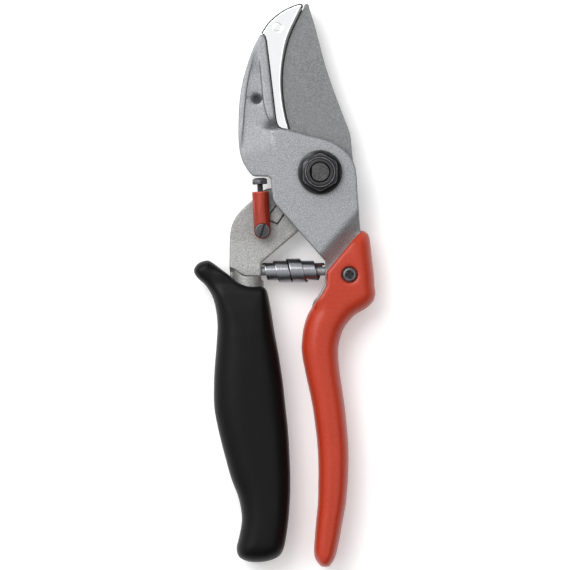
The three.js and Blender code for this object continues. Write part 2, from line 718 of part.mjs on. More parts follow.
function strutInsert() {
  const inner = adjusterRadius + gap;
  const outer = inner + insertWall;
  const low = strutLength - insertLength;
  const high = strutLength;
  return alongStrut([[inner, low], [outer, low], [outer, high], [inner, high], [inner, low]]);
}

function lockAdjuster() {
  const high = shoulderReach - lockGap;
  const low = high - adjusterHeadHeight;
  const corner = adjusterHeadWidth / Math.sqrt(3);
  const hexagon = new THREE.CylinderGeometry(corner, corner, adjusterHeadHeight, 6);
  const head = toSolid(hexagon.translate(0, (low + high) / 2, 0));
  const dome = alongStrut([
    [0, low - 1], [corner + 0.1, low - 1], [corner + 0.1, high - 1.8], [2.6, high - 1.1],
    [1.7, high - 0.4], [0.8, high - 0.1], [0, high],
  ]);
  const end = strutLength - insertLength - 2.1;
  const neck = low + 0.2;
  const shank = alongStrut([[0, end], [adjusterRadius, end], [adjusterRadius, neck], [0, neck]]);
  return head.intersect(dome).add(shank);
}

function lockScrew() {
  const seat = strutRadius - lockScrewHeadHeight;
  const slot = block(slotWidth, 8, 2, 0, 0, strutRadius - slotDepth + 1).rotate([0, 0, -22]);
  const end = bladeArmBack + lockScrewFloor + gap - strutMid;
  const high = strutRadius;
  const chamfer = 0.3;
  return turned([
    [0, end], [lockScrewRadius, end], [lockScrewRadius, seat], [lockScrewHeadRadius, seat],
    [lockScrewHeadRadius, high - chamfer], [lockScrewHeadRadius - chamfer, high], [0, high],
  ], 32).subtract(slot);
}

// ---- Assembly -----------------------------------------------------------------------------------

const group = new THREE.Group();

const bladeSide = new THREE.Group();
bladeSide.add(
  piece('pivot_bolt', pivotBolt(), 'blackSteel'),
  piece('blade_arm', bladeArm(), 'castBack'),
  piece('blade', blade(), 'bladeCoat'),
  piece('friction_washer', ring(boltRadius + gap, frictionWasherRadius, frictionWasherBack,
    frictionWasherBack + frictionWasherThickness), 'bronze'),
  piece('front_washer', ring(boltRadius + gap, frontWasherRadius, frontWasherBack,
    frontWasherBack + frontWasherThickness), 'zinc'),
  piece('pivot_nut', pivotNut(), 'blackSteel'),
  piece('nut_insert', nutInsert(), 'nylon'),
  piece('thumb_grip', thumbGrip(), 'black'),
);

const anvilSide = new THREE.Group();
anvilSide.add(
  piece('anvil_arm', anvilArm(), 'castFront'),
  piece('anvil', anvil(), 'polished'),
  piece('anvil_screw', anvilScrew(), 'blackSteel'),
  piece('pivot_bush', pivotBush(), 'bronze'),
  piece('grip_front_shell', frontShell(), 'redPlastic'),
  piece('grip_back_shell', backShell(), 'redPlastic'),
  piece('grip_screw', gripScrew(), 'blackSteel'),
  piece('grip_sleeve_nut', sleeveNut(), 'zinc'),
);

const lock = new THREE.Group();
lock.position.set(strutPivotX, strutPivotY, strutMid);
lock.rotation.z = strutLean;
lock.add(
  piece('lock_strut', lockStrut(), 'redAnodised'),
  piece('strut_insert', strutInsert(), 'brass'),
  piece('lock_adjuster', lockAdjuster(), 'blackSteel'),
  piece('lock_screw', lockScrew(), 'blackSteel'),
);

group.add(bladeSide, anvilSide, lock, piece('volute_spring', voluteSpring(), 'springSteel'));

export default group;
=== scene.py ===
# Anvil pruning shears, closed and locked, lying on a table. The looks are built round the packed
# frame, piece by piece in the order of assembly: +Y is towards the jaws, +X the blade's side, and
# +Z the front. Sizes are in millimetres and become metres where a mesh is made.
import math

import bmesh
import bpy
import numpy as np
from mathutils import Matrix, Vector
from mathutils.geometry import delaunay_2d_cdt


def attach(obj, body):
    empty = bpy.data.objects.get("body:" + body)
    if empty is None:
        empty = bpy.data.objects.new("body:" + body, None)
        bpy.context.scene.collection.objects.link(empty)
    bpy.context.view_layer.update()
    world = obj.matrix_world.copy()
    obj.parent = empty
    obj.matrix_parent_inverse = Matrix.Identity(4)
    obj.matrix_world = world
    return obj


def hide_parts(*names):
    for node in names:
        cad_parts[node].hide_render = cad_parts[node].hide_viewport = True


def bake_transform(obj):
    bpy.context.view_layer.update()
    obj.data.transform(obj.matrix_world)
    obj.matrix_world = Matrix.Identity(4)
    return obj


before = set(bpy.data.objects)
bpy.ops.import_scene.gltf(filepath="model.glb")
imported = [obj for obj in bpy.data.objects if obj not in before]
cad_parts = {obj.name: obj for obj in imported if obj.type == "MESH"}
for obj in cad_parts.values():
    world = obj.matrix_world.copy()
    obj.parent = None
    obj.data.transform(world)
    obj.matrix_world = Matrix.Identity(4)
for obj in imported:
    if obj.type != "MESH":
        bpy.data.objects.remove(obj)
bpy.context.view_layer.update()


# ---- Blade arm -----------------------------------------------------------------------------------
# The rear arm is an aluminium casting, blasted to an even coarse grain. It carries the blade on its
# disc, keeps the blade's lug in a pocket and runs down through a round neck into the black grip.
MM = 0.001
HEAD_TOP, JAW_REACH = 16.0, 63.0
GRIP_TOP, GRIP_LENGTH = -42.0, 103.2
HANDLE_MID = 9.0
BLADE_BACK, BLADE_FRONT = 7.5, 10.3
DISC_RADIUS = 12.5
ARM_BACK, ARM_POCKET = 3.0, 7.2
SPRING_Y = -36.7
SPRING_SEATS = (-21.8, 2.0)
PIVOT_HOLE_RADIUS = 4.3
BLADE_LUG = [(-12.6, -8.2), (-18.6, -15.6), (-18.4, -17.8), (-15.9, -18.8), (-13.5, -15.3)]


def jaw(x, share):
    """A point beside the jaws, by its share of their height above the pivot's disc."""
    return (x, HEAD_TOP + share * (JAW_REACH - HEAD_TOP))


def down(x, share):
    """A point beside the grips, by its share of their length."""
    return (x, GRIP_TOP - share * GRIP_LENGTH)


def curve(points, steps=8):
    """A smooth line through the points."""
    knots = [np.array(p, float) for p in [points[0], *points, points[-1]]]
    line = []
    for a, b, c, d in zip(knots, knots[1:], knots[2:], knots[3:]):
        for t in np.arange(steps) / steps:
            bend = (2 * a - 5 * b + 4 * c - d) * t**2 + (3 * b - a - 3 * c + d) * t**3
            line.append(0.5 * (2 * b + (c - a) * t + bend))
    return [*line, knots[-1]]


def arc(radius, start, end, steps=40, centre=(0, 0)):
    turn = np.radians(np.linspace(start, end, steps + 1))
    return list(np.column_stack([centre[0] + radius * np.cos(turn), centre[1] + radius * np.sin(turn)]))


def spaced(line, step=0.5, closed=True):
    """A line with its long sides split."""
    points = []
    for a, b in zip(line, [*line[1:], line[0]] if closed else line[1:]):
        a, b = np.array(a, float), np.array(b, float)
        parts = max(1, round(float(np.linalg.norm(b - a)) / step))
        if np.linalg.norm(b - a) > 1e-6:
            points += [a + (b - a) * k / parts for k in range(parts)]
    return np.array(points if closed else [*points, np.array(line[-1], float)])


def beside(line, offset, closed=True):
    """A line moved to its left."""
    ahead = np.roll(line, -1, axis=0) - line
    behind = line - np.roll(line, 1, axis=0)
    if not closed:
        ahead[-1], behind[0] = behind[-1], ahead[0]
    ahead /= np.maximum(np.linalg.norm(ahead, axis=1), 1e-9)[:, None]
    behind /= np.maximum(np.linalg.norm(behind, axis=1), 1e-9)[:, None]
    along = ahead + behind
    along /= np.maximum(np.linalg.norm(along, axis=1), 1e-9)[:, None]
    spread = np.maximum((along * ahead).sum(axis=1), 0.6)
    return line + offset * np.column_stack([-along[:, 1], along[:, 0]]) / spread[:, None]


def measure(points, line, closed=False):
    """Each point's distance to a line, and how far along the line its nearest place lies."""
    line = np.array([*line, line[0]] if closed else line, float)
    best = np.full(len(points), 1e9)
    reach = np.zeros(len(points))
    walked = 0.0
    for start, end in zip(line[:-1], line[1:]):
        step = end - start
        size = float(np.linalg.norm(step))
        if size < 1e-6:
            continue
        share = np.clip(((points - start) @ step) / size**2, 0, 1)
        away = np.linalg.norm(points - start - share[:, None] * step, axis=1)
        nearer = away < best
        best[nearer] = away[nearer]
        reach[nearer] = walked + share[nearer] * size
        walked += size
    return best, reach


def inside(points, loop):
    x, y = points.T
    within = np.zeros(len(points), bool)
    for (x0, y0), (x1, y1) in zip(loop, np.roll(loop, -1, axis=0)):
        if y0 != y1:
            within ^= ((y0 > y) != (y1 > y)) & (x < (x1 - x0) * (y - y0) / (y1 - y0) + x0)
    return within


def ease(value, low, high):
    """0 below low, 1 above high and a smooth rise between; low may be the greater."""
    share = np.clip((value - low) / (high - low), 0, 1)
    return share * share * (3 - 2 * share)


def rounding(away, radius):
    """How far a rounded edge falls below the face, by the distance from the edge."""
    left = radius - np.minimum(away, radius)
    return radius - np.sqrt(np.maximum(radius**2 - left**2, 0))


ROUND_ROWS = (0.0, 0.076, 0.29, 0.617, 1.0)
SHARP_ANGLE = math.radians(40)


def mesh_object(name, corners, faces, material, rim=None):
    """A mesh from corners in millimetres, shaded smooth between faces that meet at a slight angle.
    Rim is how near each corner lies to an edge, from 0 to 1, and sets the rubbed edges and painted edge shading
    of its finish."""
    mesh = bpy.data.meshes.new(name)
    mesh.from_pydata([tuple(c) for c in np.array(corners, float) * MM], [], [tuple(f) for f in faces])
    nearness = mesh.attributes.new("rim", "FLOAT", "POINT")
    if rim is not None:
        nearness.data.foreach_set("value", np.array(rim, np.float32))
    form = bmesh.new()
    form.from_mesh(mesh)
    bmesh.ops.remove_doubles(form, verts=form.verts, dist=1e-7)
    bmesh.ops.recalc_face_normals(form, faces=form.faces)
    form.to_mesh(mesh)
    form.free()
    mesh.shade_smooth()
    mesh.set_sharp_from_angle(angle=SHARP_ANGLE)
    mesh.materials.append(material)
    made = bpy.data.objects.new(name, mesh)
    bpy.context.scene.collection.objects.link(made)
    return made


def softened(profile, radius=0.3, steps=4):
    """A profile of radius and height with its inner corners rounded; each point carries its rim value."""
    points = [np.array(p, float) for p in profile]
    made = [(*points[0], 0.0)]
    for before, corner, after in zip(points, points[1:], points[2:]):
        into, out = before - corner, after - corner
        reach = min(radius, 0.45 * np.linalg.norm(into), 0.45 * np.linalg.norm(out))
        a = corner + into * reach / np.linalg.norm(into)
        b = corner + out * reach / np.linalg.norm(out)
        if np.linalg.norm(into) > 4 * reach:
            made.append((*(corner + into * 2.2 * reach / np.linalg.norm(into)), 0.0))
        for t in np.linspace(0, 1, steps + 1):
            place = a * (1 - t) ** 2 + corner * 2 * t * (1 - t) + b * t**2
            made.append((*place, 0.6 + 0.4 * math.sin(math.pi * t)))
        if np.linalg.norm(out) > 4 * reach:
            made.append((*(corner + out * 2.2 * reach / np.linalg.norm(out)), 0.0))
    return [*made, (*points[-1], 0.0)]


def spun(profile, segments=64, ring=False):
    """Corners, faces and rim values of a profile turned about the Z axis. The profile is a list of
    radius, height and rim value, or gives such a list for an angle."""
    shape = profile if callable(profile) else lambda turn: profile
    rows = [shape(2 * math.pi * k / segments) for k in range(segments)]
    count = len(rows[0])
    corners, faces, rim = [], [], []
    for k, row in enumerate(rows):
        turn = 2 * math.pi * k / segments
        corners += [(r * math.cos(turn), r * math.sin(turn), z) for r, z, _ in row]
        rim += [value for _, _, value in row]
        following = (k + 1) % segments
        for j in range(count if ring else count - 1):
            up = (j + 1) % count
            faces.append((k * count + j, following * count + j, following * count + up, k * count + up))
    return corners, faces, rim


def moved(form, matrix):
    """The same corners in another place, given in millimetres."""
    corners, faces, rim = form
    return [matrix @ Vector(c) for c in corners], faces, rim


def pressed(
    name, outline, front, back, rows, material, spacing=0.7, holes=(), creases=(), added=(), step=0.5
):
    """A piece with a front and a back height over one outline, as a casting parts along its rim.
    Rows are the distances from the rim at which the grid follows it; a crease is a line, whether it
    is closed, and the distances beside it at which the grid follows it. Added are further forms of
    corners, faces and rim values that belong to the same piece."""
    loops = []
    for k, loop in enumerate([outline, *holes]):
        loop = spaced(loop, step)
        x, y = loop.T
        area = np.sum(x * np.roll(y, -1) - np.roll(x, -1) * y)
        loops.append(loop if (area > 0) == (k == 0) else loop[::-1])

    def rim(points):
        return np.min([measure(points, loop, True)[0] for loop in loops], axis=0)

    def on_piece(points):
        within = inside(points, loops[0])
        for loop in loops[1:]:
            within &= ~inside(points, loop)
        return within

    fixed = np.vstack(loops)
    extra = []
    for row in rows[1:]:
        line = np.vstack([beside(loop, row) for loop in loops])
        extra.append(line[on_piece(line) & (rim(line) > row * 0.96)])
    creases = [(spaced(line, step, closed), closed, offsets) for line, closed, offsets in creases]
    for line, closed, offsets in creases:
        for offset in offsets:
            moved = beside(line, offset, closed)
            extra.append(moved[on_piece(moved) & (rim(moved) > 0.05)])
    low, high = loops[0].min(0), loops[0].max(0)
    across = np.arange(low[0], high[0], spacing)
    grid = []
    for k, y in enumerate(np.arange(low[1], high[1], spacing * 0.866)):
        grid.append(np.column_stack([across + (k % 2) * spacing / 2, np.full(len(across), y)]))
    grid = np.vstack(grid)
    grid = grid[on_piece(grid)]
    grid = grid[rim(grid) > rows[-1] + spacing * 0.4]
    for line, closed, offsets in creases:
        reach = max(abs(offset) for offset in offsets) + spacing * 0.3
        grid = grid[measure(grid, line, closed)[0] > reach]
    points = np.vstack([fixed, *extra, grid])

    edges = []
    start = 0
    for loop in loops:
        edges += [(start + k, start + (k + 1) % len(loop)) for k in range(len(loop))]
        start += len(loop)
    found = delaunay_2d_cdt([Vector(p) for p in points], edges, [], 0, 1e-5)
    flat = np.array([tuple(v) for v in found[0]])
    triangles = np.array(found[2])
    triangles = triangles[on_piece(flat[triangles].mean(axis=1))]
    used, triangles = np.unique(triangles, return_inverse=True)
    triangles = triangles.reshape(-1, 3)
    flat = flat[used]
    a, b, c = (flat[triangles[:, k]] for k in range(3))
    turned_over = (b - a)[:, 0] * (c - a)[:, 1] - (b - a)[:, 1] * (c - a)[:, 0] < 0
    triangles[turned_over] = triangles[turned_over][:, ::-1]

    away = rim(flat)
    away[away < 1e-4] = 0.0
    top = np.column_stack([flat, front(flat, away)])
    bottom = np.column_stack([flat, back(flat, away)])
    count = len(flat)
    faces = [tuple(t) for t in triangles.tolist()]
    faces += [(t[2] + count, t[1] + count, t[0] + count) for t in triangles.tolist()]
    sides = {}
    for t in triangles.tolist():
        for one, two in ((t[0], t[1]), (t[1], t[2]), (t[2], t[0])):
            sides[(one, two)] = True
    for one, two in sides:
        if (two, one) not in sides:
            faces.append((two, one, one + count, two + count))
    nearness = np.exp(-away / 0.5)
    corners = np.vstack([top, bottom])
    rim_values = [*nearness, *nearness]
    for more, more_faces, more_rim in added:
        faces += [tuple(k + len(corners) for k in face) for face in more_faces]
        corners = np.vstack([corners, np.array([tuple(c) for c in more])])
        rim_values += more_rim
    return mesh_object(name, corners, faces, material, rim_values)


def socket(tree, name, kind, way, default=None):
    made = tree.interface.new_socket(name, in_out=way, socket_type=kind)
    if default is not None:
        made.default_value = default
    return made


def math_node(tree, operation, first, second=None):
    node = tree.nodes.new("ShaderNodeMath")
    node.operation = operation
    for k, value in enumerate((first, second)):
        if isinstance(value, (int, float)):
            node.inputs[k].default_value = value
        elif value is not None:
            tree.links.new(value, node.inputs[k])
    return node.outputs[0]


def ranged(tree, value, low, high, out_low=0.0, out_high=1.0):
    node = tree.nodes.new("ShaderNodeMapRange")
    tree.links.new(value, node.inputs["Value"])
    for key, number in (("From Min", low), ("From Max", high), ("To Min", out_low), ("To Max", out_high)):
        node.inputs[key].default_value = number
    return node.outputs["Result"]


def noise(tree, vector, scale, detail=3.0, roughness=0.55):
    node = tree.nodes.new("ShaderNodeTexNoise")
    tree.links.new(vector, node.inputs["Vector"])
    if isinstance(scale, (int, float)):
        node.inputs["Scale"].default_value = scale
    else:
        tree.links.new(scale, node.inputs["Scale"])
    node.inputs["Detail"].default_value = detail
    node.inputs["Roughness"].default_value = roughness
    return node.outputs["Fac"]


def grain_group():
    """Even grain: a height for the bump, a light and dark speckle, and slow clouds."""
    tree = bpy.data.node_groups.new("grain", "ShaderNodeTree")
    socket(tree, "Per Metre", "NodeSocketFloat", "INPUT", 1500.0)
    socket(tree, "Height", "NodeSocketFloat", "OUTPUT")
    socket(tree, "Speckle", "NodeSocketFloat", "OUTPUT")
    socket(tree, "Clouds", "NodeSocketFloat", "OUTPUT")
    enter = tree.nodes.new("NodeGroupInput")
    leave = tree.nodes.new("NodeGroupOutput")
    place = tree.nodes.new("ShaderNodeTexCoord").outputs["Object"]
    size = enter.outputs["Per Metre"]
    coarse = noise(tree, place, size, 2.0, 0.6)
    fine = noise(tree, place, math_node(tree, "MULTIPLY", size, 2.7), 2.0, 0.6)
    coarse_part = math_node(tree, "MULTIPLY", coarse, 0.6)
    both = math_node(tree, "ADD", coarse_part, math_node(tree, "MULTIPLY", fine, 0.4))
    tree.links.new(both, leave.inputs["Height"])
    tree.links.new(ranged(tree, both, 0.4, 0.6), leave.inputs["Speckle"])
    clouds = noise(tree, place, math_node(tree, "MULTIPLY", size, 0.04), 3.0, 0.5)
    tree.links.new(ranged(tree, clouds, 0.3, 0.7), leave.inputs["Clouds"])
    return tree


def edge_wear_and_shading_group():
    """Broken rubbing and painted edge shading along the rims, from the nearness that each mesh keeps in its rim
    value.
    """
    tree = bpy.data.node_groups.new("edge wear", "ShaderNodeTree")
    socket(tree, "Reach", "NodeSocketFloat", "INPUT", 0.6)
    socket(tree, "Mask", "NodeSocketFloat", "OUTPUT")
    enter = tree.nodes.new("NodeGroupInput")
    leave = tree.nodes.new("NodeGroupOutput")
    rim = tree.nodes.new("ShaderNodeAttribute")
    rim.attribute_name = "rim"
    place = tree.nodes.new("ShaderNodeTexCoord").outputs["Object"]
    broken = ranged(tree, noise(tree, place, 420.0, 4.0, 0.65), 0.35, 0.65, 0.35, 1.0)
    steepness = math_node(tree, "DIVIDE", 1.0, enter.outputs["Reach"])
    near = math_node(tree, "POWER", rim.outputs["Fac"], steepness)
    tree.links.new(math_node(tree, "MULTIPLY", near, broken), leave.inputs["Mask"])
    return tree


GRAIN = grain_group()
EDGE_WEAR_AND_SHADING = edge_wear_and_shading_group()


def add_group(tree, group, **values):
    node = tree.nodes.new("ShaderNodeGroup")
    node.node_tree = group
    for key, value in values.items():
        node.inputs[key.replace("_", " ")].default_value = value
    return node


def blended(tree, share, first, second):
    """A colour between two, each a colour or another node's output."""
    node = tree.nodes.new("ShaderNodeMix")
    node.data_type = "RGBA"
    if isinstance(share, (int, float)):
        node.inputs[0].default_value = share
    else:
        tree.links.new(share, node.inputs[0])
    for k, value in ((6, first), (7, second)):
        if isinstance(value, tuple):
            node.inputs[k].default_value = (*value, 1.0)
        else:
            tree.links.new(value, node.inputs[k])
    return node.outputs[2]


def new_finish(name, metallic, roughness):
    """An empty material with its shader, ready for a piece's own nodes."""
    material = bpy.data.materials.new(name)
    material.use_nodes = True
    tree = material.node_tree
    shader = tree.nodes["Principled BSDF"]
    shader.inputs["Metallic"].default_value = metallic
    shader.inputs["Roughness"].default_value = roughness
    return material, tree, shader


def raise_bump(tree, shader, height, distance, strength=1.0):
    node = tree.nodes.new("ShaderNodeBump")
    node.inputs["Distance"].default_value = distance
    node.inputs["Strength"].default_value = strength
    tree.links.new(height, node.inputs["Height"])
    tree.links.new(node.outputs["Normal"], shader.inputs["Normal"])


def grained(name, dark, light, rim, metallic, roughness, per_metre, bump, cloudy=0.25, rim_tone=0.6):
    """A finish speckled between two colours, faintly clouded, and turning to a third along its rims. The third
    colour is rubbed edges on most finishes, painted edge shade on the castings, and a painted edge highlight on
    the red plastic and, partly, on the blackened steel.
    """
    material, tree, shader = new_finish(name, metallic, roughness)
    grain = add_group(tree, GRAIN, Per_Metre=per_metre)
    wear_and_shading = add_group(tree, EDGE_WEAR_AND_SHADING, Reach=0.7)
    speckled = blended(tree, grain.outputs["Speckle"], dark, light)
    clouded = blended(tree, math_node(tree, "MULTIPLY", grain.outputs["Clouds"], cloudy), speckled, light)
    colour = blended(tree, math_node(tree, "MULTIPLY", wear_and_shading.outputs["Mask"], rim_tone), clouded, rim)
    tree.links.new(colour, shader.inputs["Base Color"])
    rough = ranged(tree, grain.outputs["Clouds"], 0.0, 1.0, roughness - 0.05, roughness + 0.06)
    tree.links.new(rough, shader.inputs["Roughness"])
    raise_bump(tree, shader, grain.outputs["Height"], bump)
    return material, tree, shader, colour


# Painted shade: the third colour, darker than the grain, outlines the casting's rims like a shadow along its
# edges.
coarse_casting = grained(
    "coarse_casting", (0.18, 0.18, 0.173), (0.345, 0.345, 0.335), (0.12, 0.12, 0.115), 0.55, 0.5, 1900.0,
    0.00014, rim_tone=0.45,
)[0]


def grown(loop, distance):
    loop = np.array(loop, float)
    x, y = loop.T
    area = np.sum(x * np.roll(y, -1) - np.roll(x, -1) * y)
    return beside(loop, -distance if area > 0 else distance)


def blade_arm_outline():
    left = curve([
        (-17.6, -5.7), (-20.9, -6.5), (-25, -10.1), (-29.8, -14.6), (-32.5, -18.8), (-33.5, -24),
        (-33.7, -35),
    ])
    tang = curve([
        (-33.2, GRIP_TOP), down(-31.4, 0.04), down(-31.2, 0.2), down(-32, 0.4), down(-30.2, 0.58),
        down(-27.6, 0.68), down(-24.8, 0.68), down(-24.2, 0.5), down(-24.6, 0.35), down(-23, 0.16),
        down(-21.6, 0.05),
    ], 4)
    neck = [
        (-21, GRIP_TOP - 0.7), (-21, GRIP_TOP + 1.6), (SPRING_SEATS[0], GRIP_TOP + 2),
        (SPRING_SEATS[0], -33.5), (-7.7, -21.6), (2, -14.6),
    ]
    return [*arc(DISC_RADIUS, -37, 185), *left, *tang, *neck]


PEG_RADIUS, PEG_LENGTH = 1.7, 3.6


def spring_peg(start, length):
    """A cast peg along X that one end of the spring sits over."""
    profile = softened([(0, 0), (PEG_RADIUS, 0), (PEG_RADIUS, abs(length)), (0, abs(length))], 0.4)
    turn = Matrix.Rotation(math.copysign(math.pi / 2, length), 4, "Y")
    return moved(spun(profile, 32), Matrix.Translation((start, SPRING_Y, HANDLE_MID)) @ turn)


def blade_arm():
    radius = 0.6
    neck_x, neck_wide, neck_high = -27.0, 5.5, 5.2
    lug_pocket = spaced(grown([*arc(12, -125, 200, 60), *BLADE_LUG], 0.5), 0.4)
    disc_pocket = arc(DISC_RADIUS + 0.5, 0, 354, 59)

    def step_at(x):
        """The curved lower step of the plate, where the round neck begins."""
        return -35.6 - 3.0 * ease(x, -33.6, -27.5)

    def neck(x):
        share = np.clip((x - neck_x) / neck_wide, -0.98, 0.98)
        return neck_high * np.sqrt(1 - share**2)

    def front(points, away):
        x, y = points.T
        plate = BLADE_FRONT + np.interp(y, [-36.0, -27.0, -25.3], [1.7, 0.12, 0.0])
        below = ease(step_at(x) - y, -0.05, 0.12)
        level = plate * (1 - below) + (HANDLE_MID + neck(x)) * below
        level -= 0.5 * np.exp(-(((step_at(x) - y + 0.05) / 0.16) ** 2))
        in_pocket = inside(points, lug_pocket) | (np.hypot(x, y) < DISC_RADIUS + 0.5)
        level = np.where(in_pocket, ARM_POCKET, level)
        notch = ((x + 33.6) / 1.1) ** 2 + ((y + 36.8) / 0.5) ** 2
        return level - rounding(away, radius) - 1.4 * np.exp(-notch)

    def back(points, away):
        x, y = points.T
        plate = ARM_BACK + np.interp(y, [-36.0, -25.0], [1.9, 0.0])
        below = ease(step_at(x) - y, -0.05, 0.12)
        level = plate * (1 - below) + (HANDLE_MID - neck(x)) * below
        return level + rounding(away, radius)

    across = np.arange(-33.6, -20.8, 0.4)
    creases = [
        (lug_pocket, True, (-0.12, -0.02, 0.02, 0.12)),
        (disc_pocket, True, (-0.12, -0.02, 0.02, 0.12)),
        (np.column_stack([across, step_at(across)]), False, (-0.4, -0.2, -0.1, 0.0, 0.1, 0.2, 0.4)),
    ]
    arm = pressed(
        "blade_arm_casting", blade_arm_outline(), front, back, [radius * share for share in ROUND_ROWS],
        coarse_casting, 0.8, [arc(PIVOT_HOLE_RADIUS, 0, 354, 59)], creases,
        [spring_peg(SPRING_SEATS[0] - 0.5, PEG_LENGTH + 0.5)],
    )
    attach(arm, "blade_side")
    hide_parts("blade_arm")


blade_arm()


# ---- Blade ---------------------------------------------------------------------------------------
# The blade is stamped steel with a matt grey non-stick coating. Its front is flat, the bevel is ground
# on the back, and the lug on its tang locks it into the arm's pocket.
COATING_END = -12.0
BITE_LINE = [
    jaw(-11.6, 0.003), jaw(-13.0, 0.12), jaw(-14.0, 0.25), jaw(-14.35, 0.38),
    jaw(-14.0, 0.51), jaw(-12.9, 0.64), jaw(-11.0, 0.77), jaw(-6.7, 0.96),
]
EDGE_CLEARANCE = 0.5


def blade_coating():
    """The coating ends above the lug, which keeps the blasted steel."""
    material, tree, shader, colour = grained(
        "blade_coating", (0.105, 0.109, 0.11), (0.215, 0.22, 0.222), (0.3, 0.3, 0.3), 0.5, 0.48, 2000.0,
        0.00007, 0.35
    )
    place = tree.nodes.new("ShaderNodeSeparateXYZ")
    tree.links.new(tree.nodes.new("ShaderNodeTexCoord").outputs["Object"], place.inputs[0])
    bare = ranged(tree, place.outputs["Y"], (COATING_END + 0.2) * MM, (COATING_END - 0.2) * MM)
    grain = add_group(tree, GRAIN, Per_Metre=2300.0)
    steel = blended(tree, grain.outputs["Speckle"], (0.23, 0.23, 0.22), (0.38, 0.38, 0.37))
    tree.links.new(blended(tree, bare, colour, steel), shader.inputs["Base Color"])
    return material


def blade():
    thin, bevel_width, round_edge, disc = 0.3, 5.5, 0.12, 12
    edge = np.array(curve(BITE_LINE)) + (EDGE_CLEARANCE, 0)
    spine = curve([
        (12.6, -0.5), (12.7, 1.8), (12.1, 7), jaw(11.3, -0.04), jaw(9.6, 0.065), jaw(5.9, 0.27),
        jaw(2, 0.515), jaw(-1.7, 0.81), jaw(-3.9, 0.965),
    ], 6)
    tip = curve([jaw(-4.0, 0.978), jaw(-4.3, 0.993), jaw(-4.8, 1.0), jaw(-5.35, 0.998), jaw(-5.9, 0.983)], 4)
    outline = [
        *arc(disc, -125, -12, 50), *spine, *tip, *edge[::-1], (-11.5, 10), (-disc, 0),
        *arc(disc, 181, 200, 8), *BLADE_LUG,
    ]

    def front(points, away):
        return BLADE_FRONT - rounding(away, round_edge)

    def back(points, away):
        from_edge = measure(points, edge)[0]
        width = from_edge + measure(points, spine)[0]
        bevel = np.minimum(bevel_width, 0.6 * width)
        ground = (BLADE_FRONT - thin) - (BLADE_FRONT - thin - BLADE_BACK) * np.clip(from_edge / bevel, 0, 1)
        in_jaw = ease(points[:, 1], 14.0, 17.0)
        level = BLADE_BACK * (1 - in_jaw) + ground * in_jaw
        return np.minimum(level + rounding(away, round_edge), BLADE_FRONT - thin * 0.9)

    rows = [0, 0.04, round_edge, 0.6]
    bevel_line = (beside(edge[:-2], -bevel_width, False), False, (-0.2, 0.2))
    made = pressed(
        "blade_stamping", outline, front, back, rows, blade_coating(), 0.9,
        holes=[arc(PIVOT_HOLE_RADIUS, 0, 354, 59)], creases=[bevel_line],
    )
    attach(made, "blade_side")
    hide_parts("blade")


blade()


# ---- Pivot bolt and friction washer --------------------------------------------------------------
# A blackened steel bolt comes through from the back. Its round head keeps the turning marks, its
# cut end stays bare grey steel, and a bronze washer parts the blade from the front arm.
NUT_FRONT, BOLT_END = 22.5, 23.1


# The lighter rims are partly rubbed steel and partly a painted highlight along the edges.
def blackened(name, roughness=0.32, dark=0.008, light=0.018):
    return grained(
        name, (dark, dark, dark * 1.1), (light, light, light * 1.1), (0.42, 0.42, 0.43), 0.6, roughness,
        2400.0, 0.00001, 0.5, 0.4,
    )


def turning_marks(tree, spacing):
    """A height that rises and falls in rings about the pivot, and the place's own height."""
    place = tree.nodes.new("ShaderNodeSeparateXYZ")
    tree.links.new(tree.nodes.new("ShaderNodeTexCoord").outputs["Object"], place.inputs[0])
    x, y = place.outputs["X"], place.outputs["Y"]
    squared = math_node(tree, "ADD", math_node(tree, "MULTIPLY", x, x), math_node(tree, "MULTIPLY", y, y))
    turns = math_node(tree, "MULTIPLY", math_node(tree, "SQRT", squared), 2 * math.pi / spacing)
    return math_node(tree, "SINE", turns), place.outputs["Z"]


def bolt_steel():
    material, tree, shader, colour = blackened("bolt_steel")
    rings, height = turning_marks(tree, 0.45 * MM)
    cut_end = ranged(tree, height, (BOLT_END - 0.25) * MM, (BOLT_END - 0.1) * MM)
    grain = add_group(tree, GRAIN, Per_Metre=1300.0)
    bare = blended(tree, grain.outputs["Speckle"], (0.045, 0.045, 0.045), (0.1, 0.1, 0.1))
    tree.links.new(blended(tree, cut_end, colour, bare), shader.inputs["Base Color"])
    tree.links.new(ranged(tree, cut_end, 0, 1, 0.32, 0.62), shader.inputs["Roughness"])
    raise_bump(tree, shader, math_node(tree, "ADD", rings, grain.outputs["Height"]), 0.00003)
    return material


def pivot_bolt():
    head, shank, thread, flat_reach = 8.0, 4.0, 3.5, 2.95
    head_front, shank_end, flat_start = 2.7, 16.9, 17.3
    profile = [
        *softened([(0, 0), (head - 0.5, 0), (head, 0.6), (head, head_front), (shank, head_front)], 0.2),
        *softened([
            (shank, head_front + 0.05), (shank, shank_end), (thread, shank_end + 0.3),
            (thread, BOLT_END - 0.25), (thread - 0.25, BOLT_END), (0, BOLT_END),
        ], 0.12),
    ]

    def shape(turn):
        flat = -flat_reach / math.cos(turn) if math.cos(turn) < -0.8 else 1e9
        return [(min(r, flat) if z > flat_start else r, z, rim) for r, z, rim in profile]

    corners, faces, rim = spun(shape, 96)
    bolt = mesh_object("bolt", corners, faces, bolt_steel(), rim)
    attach(bolt, "blade_side")
    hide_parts("pivot_bolt")


def coat_node(name, material):
    for place in bpy.data.objects[name].material_slots:
        place.material = material


pivot_bolt()
bronze = grained(
    "bronze", (0.25, 0.17, 0.07), (0.38, 0.27, 0.12), (0.5, 0.38, 0.2), 1.0, 0.38, 1800.0, 0.00003,
)[0]
coat_node("friction_washer", bronze)


